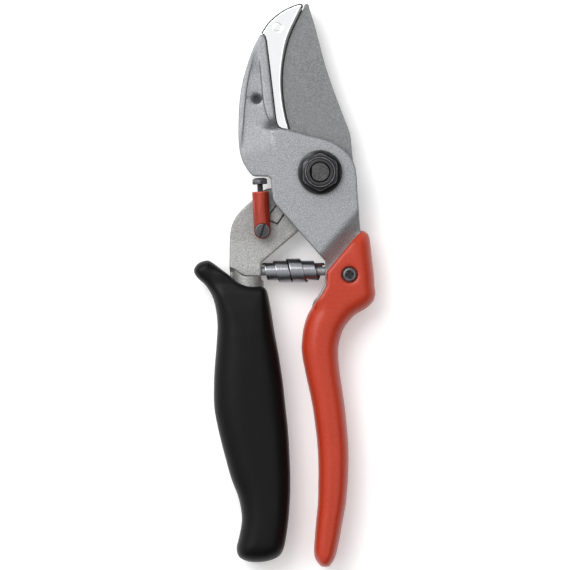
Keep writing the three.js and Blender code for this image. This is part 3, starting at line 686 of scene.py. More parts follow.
# ---- Anvil arm -----------------------------------------------------------------------------------
# The front arm is a finer aluminium casting. Its deep jaw has a sunken channel and holds the anvil,
# its flat head lies on the blade, and its tang runs down between the two red shells.
ANVIL_ARM_BACK, ANVIL_ARM_FRONT = 11.6, 16.1
ANVIL_SCREW = (-23.7, 27.6)
SHOULDER_Y = -1.5
SHELL_SLOPE = ((16.0, -21.5), (2.3, -37.2))
# Painted shade: the third colour, darker than the grain, outlines the casting's rims like a shadow along its
# edges.
fine_casting = grained(
    "fine_casting", (0.175, 0.18, 0.19), (0.325, 0.335, 0.345), (0.11, 0.113, 0.118), 0.55, 0.45, 2100.0,
    0.0001, rim_tone=0.45,
)[0]


def anvil_arm_outline():
    jaw_back = curve([
        (-23.9, SHOULDER_Y), (-25.4, SHOULDER_Y + 0.6), (-27.4, 1.7), (-29.3, 5.6), (-30.3, 12),
        jaw(-30.2, 0.14), jaw(-29.6, 0.28), jaw(-28.2, 0.43), jaw(-25.2, 0.625), jaw(-22.1, 0.755),
    ])
    jaw_inner = [jaw(-20.7, 0.742), jaw(-20.1, 0.71), jaw(-16.8, 0.085), jaw(-15.9, 0.025), jaw(-14.3, 0.003)]
    disc = curve([(-11.6, 15.7), (-3.7, 13.5), (3.7, 11.5), (9.3, 7.9), (12.6, 3.5), (13.6, -1), (13.9, -6)])
    right = curve([
        (14.5, -14), (15.2, -22), (16.8, -30), (16.3, -39), down(12.5, 0.055), down(6.5, 0.12),
        down(3.9, 0.19), down(3.6, 0.28), down(4.6, 0.46), down(6.9, 0.65),
    ], 5)
    left = curve([
        down(4.2, 0.65), down(1.2, 0.48), down(-1.4, 0.33), down(-2.9, 0.23), down(-3.6, 0.13),
        down(-2.6, 0.065), down(-0.5, 0.036), down(1.9, -0.005),
    ], 5)
    waist = [
        (SPRING_SEATS[1], -33), (-16.4, -12.1), (-17.5, -10.4), (-18, -6.5), (-18.3, -2.4),
        (-19.2, SHOULDER_Y),
    ]
    return [*jaw_back, *jaw_inner, *disc, *right, *left, *waist]


def anvil_arm():
    radius, bush_hole_radius, jaw_taper = 0.55, 5.9, 3.0
    heel, heel_depth = (-16.2, 16.9), 3.9
    screw_seat, screw_seat_radius, screw_rim_radius = 13.2, 2.2, 3.0
    scoop_depth, scoop_width, tang_drop = 3.6, 7.2, 1.5
    outer = np.array(curve([
        jaw(-24.6, 0.64), (-25.2, 42.1), (-27.2, 32.6), (-28.2, 23.3), (-28.8, 15.8), (-29.8, 9),
    ]))
    inner = np.array(curve([
        jaw(-22.7, 0.64), (-22.4, 42.7), (-21.6, 34.5), (-20.9, 27), (-19.9, 22.5), (-18.6, 19.2), (-17.2, 16.4),
    ]))
    deep_edge = [(-34, 5), (-31, 7), (-29.6, 7), (-17.5, 13), jaw(-16, 0.03), jaw(-15, 0.03)]
    heel_line = np.array([(-21.0, heel[1] - 0.2), (-15.6, heel[1] - 0.2)])
    a, b = np.array(SHELL_SLOPE[0]), np.array(SHELL_SLOPE[1])
    down_slope = (b - a) / np.linalg.norm(b - a)

    def across(line, y):
        return np.interp(y, line[::-1, 1], line[::-1, 0])

    def front(points, away):
        x, y = points.T
        level = ANVIL_ARM_FRONT - jaw_taper * np.clip((y - HEAD_TOP) / (JAW_REACH - HEAD_TOP), 0, 1)
        left, right = across(outer, y), across(inner, y)
        share = np.clip((x - left) / (right - left), 0, 1)
        floor = 1.0 + 0.15 * share
        strip = 0.5 + 0.08 * np.clip((left - x) / 2.6, 0, 1)
        walled = ease(x, left - 0.1, left + 0.5)
        depth = (strip * (1 - walled) + floor * walled) * ease(x, right + 0.1, right - 0.45)
        level -= depth * ease(y - 3.0 * share, 5.0, 18.0) * ease(y, 46.0, 36.0)
        heel_high = np.where(y < heel[1], 0.6, 2.1)
        from_heel = ((x - heel[0]) / 2.9) ** 2 + ((y - heel[1]) / heel_high) ** 2
        level -= heel_depth * np.exp(-from_heel)
        recess = np.hypot(x - ANVIL_SCREW[0], y - ANVIL_SCREW[1])
        level = level - 0.25 * ease(recess, screw_rim_radius, screw_seat_radius)
        level = np.where(recess < screw_seat_radius, screw_seat, level)
        up_slope = (points - a) @ np.array([down_slope[1], -down_slope[0]])
        level -= scoop_depth * ease(up_slope, scoop_width, 0.2)
        level -= tang_drop * ease(y, -46.0, -52.0)
        return level - rounding(away, radius)

    def back(points, away):
        x, y = points.T
        level = np.interp(y, [-52, -46, -31.5, -20.5], [6, 4.5, 4.5, ANVIL_ARM_BACK])
        jaw_level = 4.0 + 1.2 * np.clip((y - HEAD_TOP) / 37.6, 0, 1)
        edge_y = np.interp(x, [-29.6, -17.5, -16], [7, 13, 17.4])
        in_jaw = ease(y - edge_y, -0.05, 0.05) * (x < -15.5)
        return level * (1 - in_jaw) + jaw_level * in_jaw + rounding(away, radius)

    creases = [
        (outer, False, (-0.6, -0.45, -0.2, 0.0, 0.12, 0.35)),
        (inner, False, (-0.5, -0.2, 0.04, 0.3)),
        (arc(screw_seat_radius, 0, 350, 35, ANVIL_SCREW), True, (-0.1, -0.02, 0.02, 0.12)),
        (deep_edge, False, (-0.3, -0.06, 0.06, 0.3)),
        (heel_line, False, (-0.6, -0.3, 0.0, 0.3, 0.7)),
    ]
    arm = pressed(
        "anvil_arm_casting", anvil_arm_outline(), front, back, [radius * share for share in ROUND_ROWS],
        fine_casting, 0.75, [arc(bush_hole_radius, 0, 354, 59)], creases,
        [spring_peg(SPRING_SEATS[1] + 0.5, -PEG_LENGTH - 0.5)],
    )
    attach(arm, "anvil_side")
    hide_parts("anvil_arm")


anvil_arm()


# ---- Anvil and its screw -------------------------------------------------------------------------
# The anvil is a light alloy casting with a polished face. A ring is stamped in the face, and the chamfer
# ground along the bite is filed crosswise near the tip. A low ledge round the face and the sides are
# painted near black, as the shadow in the gaps round the anvil. A small black socket screw holds the anvil from
# the jaw's channel.
ANVIL_FRONT, ANVIL_BACK = 12.5, 5.3


def polished_alloy():
    """Bright on the face, grey on the ground chamfer and greyer with depth, which is painted shade in the
    stamped ring, and near black on the low ledge and sides as painted shadow in the gaps round the anvil.
    """
    material, tree, shader = new_finish("polished_alloy", 1.0, 0.1)
    place = tree.nodes.new("ShaderNodeTexCoord").outputs["Object"]
    turned = tree.nodes.new("ShaderNodeMapping")
    turned.inputs["Rotation"].default_value = (0, 0, math.radians(-8))
    turned.inputs["Scale"].default_value = (1.0, 0.06, 1.0)
    tree.links.new(place, turned.inputs["Vector"])
    scratches = noise(tree, turned.outputs["Vector"], 9000.0, 2.0)
    cloud = noise(tree, place, 160.0)
    height = tree.nodes.new("ShaderNodeSeparateXYZ")
    tree.links.new(place, height.inputs[0])
    # Painted shade: greying with depth below the face also darkens the shallow stamped ring.
    ground = ranged(tree, height.outputs["Z"], (ANVIL_FRONT - 0.02) * MM, (ANVIL_FRONT - 0.16) * MM)
    # Painted shadow: the low ledge and the sides, over a millimetre below the face, turn near black for the gaps
    # round the anvil.
    cast = ranged(tree, height.outputs["Z"], (ANVIL_FRONT - 1.0) * MM, (ANVIL_FRONT - 1.3) * MM)
    bright = blended(tree, cloud, (0.84, 0.85, 0.855), (0.9, 0.91, 0.915))
    dulled_and_shaded = blended(tree, ground, bright, (0.55, 0.56, 0.565))
    tree.links.new(blended(tree, cast, dulled_and_shaded, (0.06, 0.06, 0.062)), shader.inputs["Base Color"])
    rubbed = ranged(tree, scratches, 0.3, 0.7, 0.1, 0.2)
    rough = math_node(tree, "ADD", rubbed, math_node(tree, "MULTIPLY", ground, 0.3))
    tree.links.new(rough, shader.inputs["Roughness"])
    raise_bump(tree, shader, scratches, 0.000003)
    return material


def anvil():
    # The low ledge round the face carries the painted shadow of the gaps to the blade and the jaw.
    shadow_ledge_height, shadow_ledge_width, nose_shadow_ledge_width = 9.4, 0.5, 0.62
    chamfer_depth, file_depth, file_pitch = 0.45, 0.22, 0.75
    ring_centre, ring_radius, ring_depth = jaw(-15.7, 0.811), 1.5, 0.09
    bite = curve(BITE_LINE)
    joint = [
        jaw(-14.1, 0.01), jaw(-15.3, 0.028), jaw(-16.0, 0.06), jaw(-16.4, 0.1), jaw(-19.7, 0.7),
        jaw(-20.1, 0.735), jaw(-20.8, 0.757), jaw(-21.8, 0.77),
    ]
    nose = curve([
        jaw(-21.8, 0.77), jaw(-18.6, 0.865), jaw(-13.4, 0.95), jaw(-7.7, 1), jaw(-6.3, 0.985),
        jaw(-6.7, 0.96),
    ])
    face = spaced([*bite, *beside(nose, -nose_shadow_ledge_width, False)[::-1][1:], *joint[::-1][1:]], 0.2)
    under_blade = beside(bite, -shadow_ledge_width, False)
    in_joint = beside(joint, shadow_ledge_width * 0.7, False)
    outline = [*under_blade[:-1], *nose[::-1], *in_joint[::-1][1:]]

    def front(points, away):
        from_bite, along = measure(points, bite)
        level = ANVIL_FRONT - rounding(measure(points, face, True)[0], 0.12)
        chamfer_width = np.interp(points[:, 1], [18, 30, 50], [0.35, 0.45, 0.8])
        chamfer = np.clip(1 - from_bite / chamfer_width, 0, 1)
        filed = ease(points[:, 1], 42.0, 48.0) * (0.5 + 0.5 * np.sin(2 * np.pi * along / file_pitch))
        ground = chamfer_depth * chamfer + file_depth * filed * ease(chamfer, 0.05, 0.4)
        level = np.minimum(level, ANVIL_FRONT - ground)
        from_ring = np.abs(np.hypot(*(points - ring_centre).T) - ring_radius)
        level -= ring_depth * ease(from_ring, 0.16, 0.05)
        return np.where(inside(points, face), level, shadow_ledge_height)

    def back(points, away):
        back_chamfer = 0.9 * np.clip(1 - measure(points, bite)[0] / 0.95, 0, 1)
        return ANVIL_BACK + np.maximum(rounding(away, 0.3), back_chamfer)

    creases = [
        (arc(ring_radius, 0, 352, 44, ring_centre), True, (-0.2, -0.1, 0.0, 0.1, 0.2)),
        (face, True, (-0.04, 0.04, 0.15, 0.3, 0.6, 0.95)),
    ]
    made = pressed(
        "anvil_casting", outline, front, back, (0.0, 0.1), polished_alloy(), 0.7, creases=creases, step=0.15,
    )
    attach(made, "anvil_side")
    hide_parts("anvil")


def rod(radius, low, high):
    """A plain profile, to cut holes and sockets with."""
    return [(0, low, 0), (radius, low, 0), (radius, high, 0), (0, high, 0)]


def cut(piece, form):
    """Takes a form of corners and faces out of a piece. The floor of the cut gets a rim value of 0, so no
    rubbing and no painted shading from the rims.
    """
    cutter = mesh_object("cutter", form[0], form[1], piece.data.materials[0])
    step = piece.modifiers.new("cut", "BOOLEAN")
    step.object = cutter
    step.solver = "EXACT"
    depsgraph = bpy.context.evaluated_depsgraph_get()
    piece.data = bpy.data.meshes.new_from_object(piece.evaluated_get(depsgraph))
    piece.modifiers.clear()
    bpy.data.objects.remove(cutter)
    floor = min(corner[2] for corner in form[0]) * MM
    for vertex, nearness in zip(piece.data.vertices, piece.data.attributes["rim"].data):
        if abs(vertex.co.z - floor) < 1e-6:
            nearness.value = 0.0
    piece.data.set_sharp_from_angle(angle=SHARP_ANGLE)


def anvil_screw():
    front, head_back, end = 14.2, 12.7, 4.6
    head, shank, socket_radius, socket_floor = 1.9, 1.2, 0.9, 13.3
    profile = softened(
        [(0, end), (shank, end), (shank, head_back), (head, head_back), (head, front), (0, front)], 0.2
    )
    place = Matrix.Translation((*ANVIL_SCREW, 0))
    corners, faces, rim = moved(spun(profile, 40), place)
    black = blackened("screw_black", 0.36, 0.02, 0.04)[0]
    screw = mesh_object("anvil_screw_black", corners, faces, black, rim)
    cut(screw, moved(spun(rod(socket_radius, socket_floor, front + 1), 6), place))
    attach(screw, "anvil_side")
    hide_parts("anvil_screw")


anvil()
anvil_screw()


# ---- Bush, front washer, nut and insert ----------------------------------------------------------
# The pivot turns in a bronze bush. A zinc-plated washer and a black flanged lock nut close it from
# the front, and the glossy black ring inside the nut's thin collar grips the bolt's thread.
NUT_BACK, NUT_SHOULDER = 17.2, 21.3
zinc_plate = grained(
    "zinc_plate", (0.42, 0.42, 0.41), (0.55, 0.55, 0.54), (0.7, 0.7, 0.7), 1.0, 0.3, 1200.0, 0.00002,
)[0]


def pivot_nut():
    flange, half_flats, corner_reach, collar, collar_wall, bore = 8.3, 6.4, 7.05, 5.6, 0.5, 3.8

    def shape(turn):
        side = ((turn + math.pi / 6) % (math.pi / 3)) - math.pi / 6
        hexagon = min(half_flats / math.cos(side), corner_reach)
        shoulder = NUT_SHOULDER - 0.2 - (hexagon - half_flats) * 0.62
        seat = 18.9 - (hexagon - half_flats) * 0.25
        return [
            (bore, NUT_BACK, 0), (flange - 0.2, NUT_BACK, 0), (flange, NUT_BACK + 0.2, 1), (flange, 17.95, 1),
            (flange - 0.12, 18.15, 1), (flange - 0.4, 18.25, 0.4), (hexagon + 0.35, seat - 0.05, 0),
            (hexagon + 0.08, seat + 0.08, 0), (hexagon, seat + 0.35, 0), (hexagon, shoulder - 0.15, 0.5),
            (hexagon - 0.1, shoulder, 1), (half_flats - 0.25, NUT_SHOULDER, 0.3),
            (collar + 0.25, NUT_SHOULDER, 0),
            (collar + 0.04, NUT_SHOULDER + 0.1, 0), (collar, NUT_SHOULDER + 0.3, 0),
            (collar, NUT_FRONT - 0.15, 1),
            (collar - 0.12, NUT_FRONT, 1), (collar - collar_wall + 0.12, NUT_FRONT, 1),
            (collar - collar_wall, NUT_FRONT - 0.12, 1), (collar - collar_wall, NUT_SHOULDER - 1, 0),
            (bore, NUT_SHOULDER - 1, 0),
        ]

    corners, faces, rim = spun(shape, 144, ring=True)
    nut_black, _, shader, _ = blackened("nut_black", 0.22)
    shader.inputs["Specular IOR Level"].default_value = 0.2
    nut = mesh_object("flange_nut", corners, faces, nut_black, rim)
    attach(nut, "blade_side")
    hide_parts("pivot_nut")

    inner, outer, low, top = bore, collar - collar_wall - 0.15, 20.7, NUT_FRONT - 0.25
    profile = softened([(inner, low), (outer, low), (outer, top), (inner, top), (inner, low + 0.05)], 0.3)
    gloss = grained(
        "black_nylon", (0.01, 0.01, 0.011), (0.018, 0.018, 0.02), (0.03, 0.03, 0.03), 0.0, 0.15, 900.0,
        0.00002,
    )[0]
    corners, faces, rim = spun(profile, 64, ring=True)
    ring = mesh_object("nylon_ring", corners, faces, gloss, rim)
    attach(ring, "blade_side")
    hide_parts("nut_insert")


coat_node("pivot_bush", bronze)
coat_node("front_washer", zinc_plate)
pivot_nut()


# ---- Thumb grip ----------------------------------------------------------------------------------
# Soft black plastic moulded over the blade arm's tang in one piece. Its top end stands up round the
# neck as a blunt lip, and a hook for the thumb grows out of its upper left.
def bulge(share, squareness=2.5):
    """The rise of a rounded side, from 0 at its edge to 1 where the face is level."""
    return (1 - (1 - np.clip(share, 0, 1)) ** squareness) ** (1 / squareness)


GRIP_ROWS = (0.0, 0.05, 0.16, 0.35, 0.65, 1.1, 1.8, 2.7)
black_plastic, _, black_shader, _ = grained(
    "black_plastic", (0.0022, 0.0022, 0.0026), (0.004, 0.004, 0.0048), (0.008, 0.008, 0.009), 0.0, 0.4,
    1600.0, 0.00002, 0.4, 0.3,
)
black_shader.inputs["Specular IOR Level"].default_value = 0.12


def thumb_grip():
    outline = curve([
        (-33.4, -38.6), (-36.6, -36.1), (-40.1, -33.5), (-42.2, -32.7), (-45.4, -33.8), (-47, -36.4),
        (-45.9, -39),
        (-42.7, -42), (-40, -46.5), (-38.6, -52), (-38.2, -57.3), down(-38.5, 0.21), down(-39.1, 0.28),
        down(-39.5, 0.35), down(-39.4, 0.44), down(-37.9, 0.52), down(-35.6, 0.61), down(-33, 0.7),
        down(-30.3, 0.77), down(-29.1, 0.84), down(-29.9, 0.9), down(-31, 0.945), down(-30.6, 0.974),
        down(-29, 0.99), down(-25.8, 1), down(-21.3, 1), down(-17.2, 0.99), down(-14.7, 0.974),
        down(-13.3, 0.945), down(-12.4, 0.9), down(-11.6, 0.84), down(-11.1, 0.77), down(-11, 0.7),
        down(-11.3, 0.61), down(-11.9, 0.52), down(-12.8, 0.44), down(-13.8, 0.35), down(-15.2, 0.26),
        down(-16.7, 0.18), down(-18.2, 0.09), (-19.1, -46.6), (-19.9, -43.9), (-21.3, -42.6), (-23.5, -42.3),
        (-25.8, -42.1), (-28.2, -41.6), (-31.1, -40.4), (-33.0, -39.0),
    ], 5)

    def height(points, away):
        x, y = points.T
        high = np.interp(y, [-69, -60.6, -51.3, -44.6, -41.6], [9, 8.8, 8.2, 7.4, 6.4])
        wide = np.interp(
            y, [-140, -128, -114, -87, -69, -60, -50, -44, -42],
            [8.2, 8.4, 10.6, 12.6, 11.6, 9.5, 6, 2.4, 1.4]
        )
        hooked = ease(x, -36.0, -41.0) * ease(y, -54.0, -44.0)
        high = high * (1 - hooked) + 6.0 * hooked
        wide = wide * (1 - hooked) + 3.9 * hooked
        return high * bulge(away / wide)

    def front(points, away):
        return HANDLE_MID + height(points, away)

    def back(points, away):
        return HANDLE_MID - height(points, away)

    grip = pressed("thumb_grip_moulding", outline, front, back, GRIP_ROWS, black_plastic, 1.0)
    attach(grip, "blade_side")
    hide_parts("thumb_grip")


thumb_grip()


# ---- Red shells, their screw and sleeve nut ------------------------------------------------------
# Two red plastic shells close over the anvil arm's tang and meet along the middle. They end bluntly
# where the casting comes out. A black cross-slotted screw in a round recess runs into a sleeve nut.
GRIP_SCREW = (11.0, -38.0)
PARTING = 0.15


# The lighter, pinker rims are a painted highlight along the shells' edges.
def red_plastic():
    material, _, shader, _ = grained(
        "red_plastic", (0.35, 0.027, 0.009), (0.42, 0.035, 0.012), (0.56, 0.1, 0.05), 0.0, 0.33, 1100.0,
        0.000008, 0.5, 0.35,
    )
    shader.inputs["Specular IOR Level"].default_value = 0.26
    shader.inputs["Coat Weight"].default_value = 0.05
    shader.inputs["Coat Roughness"].default_value = 0.2
    return material


def red_shells():
    blunt = [(15.0, -21.6), (2.3, -37.0), (2.2, -42), down(0.6, 0.03), down(-1.4, 0.055), down(-3.3, 0.085)]
    left = [
        down(-4.7, 0.11), down(-6, 0.15), down(-6.6, 0.19), down(-6.8, 0.24), down(-5.3, 0.32),
        down(-2.7, 0.44),
        down(-1, 0.57), down(-0.6, 0.65), down(-0.6, 0.72), down(-0.8, 0.79), down(-1.4, 0.85),
        down(-1.9, 0.91), down(-2.2, 0.96), down(-1.7, 0.988), down(-0.3, 1.008), down(0.9, 1.017),
    ]
    right = [
        down(3.2, 1.017), down(4.2, 1.008), down(5.5, 0.988), down(6.4, 0.96), down(7.5, 0.91),
        down(8.6, 0.85),
        down(9.7, 0.79), down(10.4, 0.72), down(10.7, 0.65), down(10.6, 0.57), down(9.3, 0.44),
        down(7.5, 0.32),
        down(6.8, 0.24), down(7.6, 0.19), down(9.3, 0.15), down(12.8, 0.11), down(17, 0.085), (19.6, -48.4),
        (20.7, -45.5), (20.4, -42), (20.1, -37.2), (19.3, -30.4), (18.8, -26), (18.2, -23.3), (17.0, -22.1),
        (16.0, -21.7),
    ]
    free = curve([blunt[-1], *left, *right, blunt[0]], 5)
    outline = [*blunt[:3], *curve(blunt[2:], 5)[1:-1], *free[:-1]]
    sunk = np.array(GRIP_SCREW)
    front_recess, front_seat, back_recess, back_seat, recess_rim = 3.2, 15.2, 3.6, 2.9, 0.3

    def height(points, away):
        y = points[:, 1]
        high = np.interp(y, [-134, -42, -37.2, -30.4, -26, -22.2], [9, 9, 8.8, 8.4, 7.6, 5.4])
        wide = np.interp(
            y, [-146, -140, -128, -112, -95, -87, -66, -58], [3.8, 4.1, 4.7, 5.3, 5.6, 5.8, 6.5, 6.8]
        )
        sides = bulge(measure(points, free)[0] / wide)
        ends = bulge(measure(points, blunt)[0] / 1.0)
        rise = high * sides * ends
        return np.where(away < 1e-4, PARTING, np.maximum(rise, PARTING))

    def front(points, away):
        reach = np.hypot(*(points - sunk).T)
        level = HANDLE_MID + height(points, away) - recess_rim * ease(reach, 3.9, front_recess)
        return np.where(reach < front_recess, front_seat, level)

    def back(points, away):
        reach = np.hypot(*(points - sunk).T)
        level = HANDLE_MID - height(points, away) + recess_rim * ease(reach, 4.2, back_recess)
        return np.where(reach < back_recess, back_seat, level)

    def parting(side):
        return lambda points, away: np.full(len(points), HANDLE_MID + side * PARTING)

    material = red_plastic()
    for name, node, top, bottom, recess in (
        ("red_front_shell", "grip_front_shell", front, parting(1), front_recess),
        ("red_back_shell", "grip_back_shell", parting(-1), back, back_recess),
    ):
        crease = (arc(recess, 0, 352, 44, GRIP_SCREW), True, (-0.25, -0.03, 0.03, 0.3))
        shell = pressed(name, outline, top, bottom, GRIP_ROWS, material, 0.9, creases=[crease])
        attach(shell, "anvil_side")
        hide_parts(node)


def slab(width, depth, low, high):
    """A plain block round the Z axis, to cut slots with."""
    stretch = Matrix.Diagonal((width / math.sqrt(2), depth / math.sqrt(2), 1, 1))
    return moved(spun(rod(1, low, high), 4), stretch @ Matrix.Rotation(math.pi / 4, 4, "Z"))


def shell_screws():
    place = Matrix.Translation((*GRIP_SCREW, 0))
    head, shank, top, head_back, end = 2.6, 1.6, 17.2, 15.25, 4.5
    slot_long, slot_wide, slot_depth = 2.9, 1.0, 1.9
    profile = softened([
        (0, end), (shank, end), (shank, head_back), (head, head_back), (head, top - 0.35),
        (head - 0.5, top), (0, top),
    ], 0.25)
    corners, faces, rim = moved(spun(profile, 48), place)
    black = blackened("cross_slot_black", 0.42, 0.02, 0.04)[0]
    screw = mesh_object("cross_slot_screw", corners, faces, black, rim)
    turned = place @ Matrix.Rotation(math.radians(12), 4, "Z")
    for width, depth in ((slot_long, slot_wide), (slot_wide, slot_long)):
        cut(screw, moved(slab(width, depth, top - slot_depth, top + 1), turned))
    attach(screw, "anvil_side")
    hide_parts("grip_screw")

    flange, body, bore, socket_radius = 3.3, 2.7, 1.9, 1.6
    profile = softened([
        (0, 1.2), (flange, 1.2), (flange, 2.6), (body, 2.6), (body, 8.5), (bore, 8.5), (bore, 2.5), (0, 2.5),
    ], 0.3)
    corners, faces, rim = moved(spun(profile, 48), place)
    nut = mesh_object("sleeve_nut", corners, faces, zinc_plate, rim)
    cut(nut, moved(spun(rod(socket_radius, 0, 2.1), 6), place))
    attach(nut, "anvil_side")
    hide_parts("grip_sleeve_nut")


red_shells()
shell_screws()


# ---- Volute spring -------------------------------------------------------------------------------
# One bright strip of spring steel is wound widest in the middle, so that the turns to each side slide
# inside it when the grips close. Its ends sit over a peg on each arm.
def spring_steel():
    material, tree, shader = new_finish("spring_steel", 1.0, 0.22)
    place = tree.nodes.new("ShaderNodeTexCoord").outputs["Object"]
    drawn = tree.nodes.new("ShaderNodeMapping")
    drawn.inputs["Scale"].default_value = (1.0, 0.08, 0.08)
    tree.links.new(place, drawn.inputs["Vector"])
    streaks = noise(tree, drawn.outputs["Vector"], 1600.0, 2.0)
    wear_and_shading = add_group(tree, EDGE_WEAR_AND_SHADING, Reach=0.8)
    bright = blended(tree, streaks, (0.24, 0.245, 0.27), (0.3, 0.305, 0.33))
    tree.links.new(
        blended(tree, wear_and_shading.outputs["Mask"], bright, (0.12, 0.12, 0.13)), shader.inputs["Base Color"]
    )
    tree.links.new(ranged(tree, streaks, 0.3, 0.7, 0.22, 0.26), shader.inputs["Roughness"])
    return material


def volute_spring():
    strip, width, wide_radius, drop, turns, nested = 0.45, 5.0, 4.68, 1.65, 2.1, 0.8
    left, right = SPRING_SEATS[0] + 0.1, SPRING_SEATS[1] - 0.1
    lap = width + 0.3
    narrow = ((right - left - width) / 2 - lap * nested) / (turns - nested)
    flat, half, thick = width / 2 - 0.45, width / 2, strip / 2
    face = [(-half, 0), (-half + 0.04, thick - 0.06), (-half + 0.12, thick), (-flat, thick), (0, thick)]
    face += [(-x, y) for x, y in face[-2::-1]]
    section = [*face, *[(-x, -y) for x, y in face[1:-1]]]
    corners, faces, rim = [], [], []
    steps, count = 300, len(section)
    for k in range(steps + 1):
        turn = turns * (2 * k / steps - 1)
        side = abs(turn)
        shift = math.copysign(lap * min(side, nested) + narrow * max(side - nested, 0), turn)
        radius = wide_radius - strip / 2 - drop * side / turns
        angle = 2 * math.pi * turn
        for along, out in section:
            reach = radius + out
            corners.append((
                (left + right) / 2 + shift + along, SPRING_Y + reach * math.cos(angle),
                HANDLE_MID + reach * math.sin(angle),
            ))
            rim.append(float(abs(along) > half - 0.05))
    for k in range(steps):
        for j in range(count):
            a, b = k * count + j, k * count + (j + 1) % count
            faces.append((a, b, b + count, a + count))
    faces += [tuple(range(count)), tuple(steps * count + j for j in range(count))]
    spring = mesh_object("volute_spring_strip", corners, faces, spring_steel(), rim)
    seats = [(x * MM, SPRING_Y * MM, HANDLE_MID * MM) for x in (left, right)]
    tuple(seats[0])
    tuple(seats[1])
    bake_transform(spring)
    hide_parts("volute_spring")


volute_spring()


# ---- Lock ----------------------------------------------------------------------------------------
# A red anodised aluminium strut swings up on a slotted screw and props the anvil arm's shoulder. A
# hex-headed adjusting screw is threaded into its open end through a brass insert.
LOCK_CENTRE = (-21.4, -21.7, 13.7)
LOCK_LEAN = math.radians(3.1)
LOCK_PLACE = Matrix.Translation(LOCK_CENTRE) @ Matrix.Rotation(LOCK_LEAN, 4, "Z")
ALONG_STRUT = LOCK_PLACE @ Matrix.Rotation(-math.pi / 2, 4, "X")
STRUT_RADIUS, STRUT_LENGTH = 3.1, 14.6
LOCK_HEAD, LOCK_GAP = 2.65, 0.5


def red_anodised():
    material, tree, shader = new_finish("red_anodised", 0.4, 0.4)
    place = tree.nodes.new("ShaderNodeTexCoord").outputs["Object"]
    drawn = tree.nodes.new("ShaderNodeMapping")
    drawn.inputs["Scale"].default_value = (1.0, 0.05, 1.0)
    tree.links.new(place, drawn.inputs["Vector"])
    streaks = noise(tree, drawn.outputs["Vector"], 2600.0, 3.0)
    wear_and_shading = add_group(tree, EDGE_WEAR_AND_SHADING, Reach=0.8)
    dyed = blended(tree, ranged(tree, streaks, 0.35, 0.65), (0.2, 0.015, 0.006), (0.36, 0.034, 0.013))
    rim_tone = blended(tree, math_node(tree, "MULTIPLY", wear_and_shading.outputs["Mask"], 0.45), dyed, (0.75, 0.25, 0.17))
    tree.links.new(rim_tone, shader.inputs["Base Color"])
    tree.links.new(ranged(tree, streaks, 0.3, 0.7, 0.3, 0.5), shader.inputs["Roughness"])
    raise_bump(tree, shader, streaks, 0.00002)
    return material


def lock_strut():
    bore, bore_floor = 2.3, 4.6
    quarter = np.radians(np.linspace(-90, 0, 10))
    foot = [(STRUT_RADIUS * math.cos(t), STRUT_RADIUS * math.sin(t), 0.0) for t in quarter]
    mouth = softened([
        (STRUT_RADIUS, 0.2), (STRUT_RADIUS, STRUT_LENGTH), (bore, STRUT_LENGTH), (bore, bore_floor),
        (0, bore_floor),
    ], 0.3)
    corners, faces, rim = moved(spun([*foot, *mouth], 72), ALONG_STRUT)
    strut = mesh_object("lock_strut_turned", corners, faces, red_anodised(), rim)
    seat, screw_hole, cut_top = 0.6, 2.1, 6.0
    for radius, low in ((LOCK_HEAD + 0.2, seat), (screw_hole, -cut_top)):
        cut(strut, moved(spun(rod(radius, low, cut_top), 72), LOCK_PLACE))
    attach(strut, "lock")
    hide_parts("lock_strut")


def lock_adjuster():
    shank, pitch, head_high, half_flats, corner_reach = 1.15, 0.62, 2.4, 2.75, 3.1
    top = (SHOULDER_Y - LOCK_CENTRE[1]) / math.cos(LOCK_LEAN) - LOCK_GAP
    low = top - head_high
    levels = np.arange(6.3, low - 0.1, 0.09)

    def shape(turn):
        side = ((turn + math.pi / 6) % (math.pi / 3)) - math.pi / 6
        hexagon = min(half_flats / math.cos(side), corner_reach)
        rows = [(0, levels[0] - 0.1, 0)]
        for z in levels:
            phase = (z / pitch - turn / (2 * math.pi)) % 1.0
            crest = 1 - abs(2 * phase - 1)
            rows.append((shank - 0.2 * (1 - crest), z, 0.5 * crest**3))
        shoulder = top - 0.55 - (hexagon - half_flats) * 0.6
        rows += [
            (shank - 0.05, low, 0), (hexagon - 0.35, low, 0), (hexagon - 0.08, low + 0.12, 0.7),
            (hexagon, low + 0.32, 0.6),
            (hexagon, shoulder - 0.15, 0.7), (hexagon - 0.12, shoulder, 0.8), (2.3, top - 0.26, 0.3),
            (1.7, top - 0.1, 0.1), (0.9, top - 0.02, 0), (0, top, 0),
        ]
        return rows

    corners, faces, rim = moved(spun(shape, 72), ALONG_STRUT)
    black = blackened("adjuster_black", 0.36, 0.025, 0.05)[0]
    adjuster = mesh_object("adjusting_screw", corners, faces, black, rim)
    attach(adjuster, "adjuster")
    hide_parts("lock_adjuster")


def lock_screw():
    top, shank, end, head_high = STRUT_RADIUS, 1.8, -8.9, 2.3
    slot_wide, slot_depth, slot_turn = 0.85, 1.7, math.radians(68)
    profile = softened([
        (0, end), (shank, end), (shank, top - head_high), (LOCK_HEAD, top - head_high),
        (LOCK_HEAD, top - 0.2), (0, top + 0.02),
    ], 0.2)
    corners, faces, rim = moved(spun(profile, 64), LOCK_PLACE)
    screw = mesh_object("slotted_screw", corners, faces, blackened("slotted_black", 0.42, 0.03, 0.06)[0], rim)
    slot = slab(8, slot_wide, top - slot_depth, top + 1)
    cut(screw, moved(slot, LOCK_PLACE @ Matrix.Rotation(slot_turn, 4, "Z")))
    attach(screw, "blade_side")
    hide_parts("lock_screw")


lock_strut()
brass = grained(
    "brass", (0.42, 0.27, 0.07), (0.55, 0.37, 0.12), (0.65, 0.5, 0.25), 1.0, 0.3, 1500.0, 0.00002,
)[0]
coat_node("strut_insert", brass)
lock_adjuster()
lock_screw()


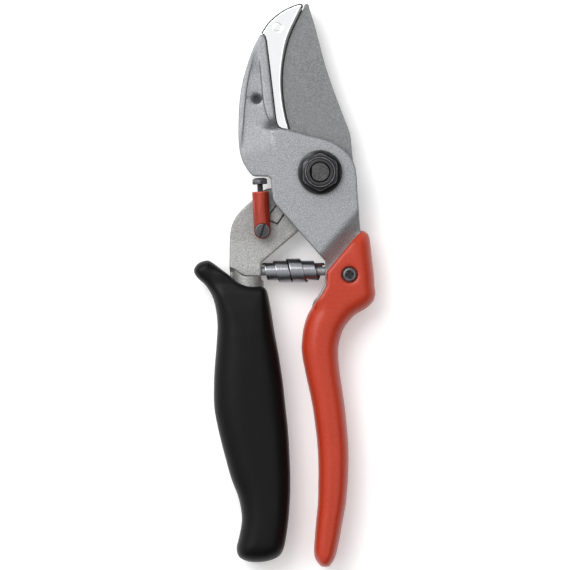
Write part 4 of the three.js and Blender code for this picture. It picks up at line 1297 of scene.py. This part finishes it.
# ---- Table, light and camera ---------------------------------------------------------------------
# A white table under a broad soft light from the upper left, seen from straight above.
VIEW_WIDTH = 212.4
VIEW_CENTRE = (-13.0, -41.9)
CAMERA_HEIGHT, CAMERA_FOCUS = 2400.0, 12.0


def studio():
    material, tree, shader = new_finish("white_table", 0.0, 0.6)
    cloud = noise(tree, tree.nodes.new("ShaderNodeTexCoord").outputs["Object"], 6.0)
    tree.links.new(blended(tree, cloud, (0.95, 0.95, 0.95), (0.97, 0.97, 0.97)), shader.inputs["Base Color"])
    shader.inputs["Emission Color"].default_value = (1, 1, 1, 1)
    shader.inputs["Emission Strength"].default_value = 0.16
    half, level = 1500.0, -0.3
    table = mesh_object(
        "table", [(-half, -half, level), (half, -half, level), (half, half, level), (-half, half, level)],
        [(0, 1, 2, 3)], material,
    )

    world = bpy.data.worlds.new("soft_room")
    world.use_nodes = True
    bpy.context.scene.world = world
    sky = world.node_tree
    background = sky.nodes["Background"]
    background.inputs["Color"].default_value = (1, 1, 1, 1)
    towards = sky.nodes.new("ShaderNodeVectorMath")
    towards.operation = "DOT_PRODUCT"
    sky.links.new(sky.nodes.new("ShaderNodeTexCoord").outputs["Generated"], towards.inputs[0])
    towards.inputs[1].default_value = (-0.47, 0.42, 0.78)
    sky.links.new(ranged(sky, towards.outputs["Value"], 0.05, 0.74, 0.1, 1.0), background.inputs["Strength"])

    for name, place, size, power in (
        ("key", (-480, 430, 850), 800, 8.6), ("fill", (500, -100, 900), 700, 1.4)
    ):
        lamp = bpy.data.lights.new(name, "AREA")
        lamp.size = size * MM
        lamp.energy = power
        holder = bpy.data.objects.new(name, lamp)
        holder.location = Vector(place) * MM
        aim = Vector((*VIEW_CENTRE, 0)) * MM - holder.location
        holder.rotation_euler = aim.to_track_quat("-Z", "Y").to_euler()
        bpy.context.scene.collection.objects.link(holder)

    lens = bpy.data.cameras.new("camera")
    lens.sensor_width = 36.0
    lens.lens = lens.sensor_width * (CAMERA_HEIGHT - CAMERA_FOCUS) / VIEW_WIDTH
    lens.clip_end = 10.0
    camera = bpy.data.objects.new("camera", lens)
    camera.location = Vector((*VIEW_CENTRE, CAMERA_HEIGHT)) * MM
    bpy.context.scene.collection.objects.link(camera)
    bpy.context.scene.camera = camera
    bpy.context.scene.view_settings.view_transform = "Standard"


studio()
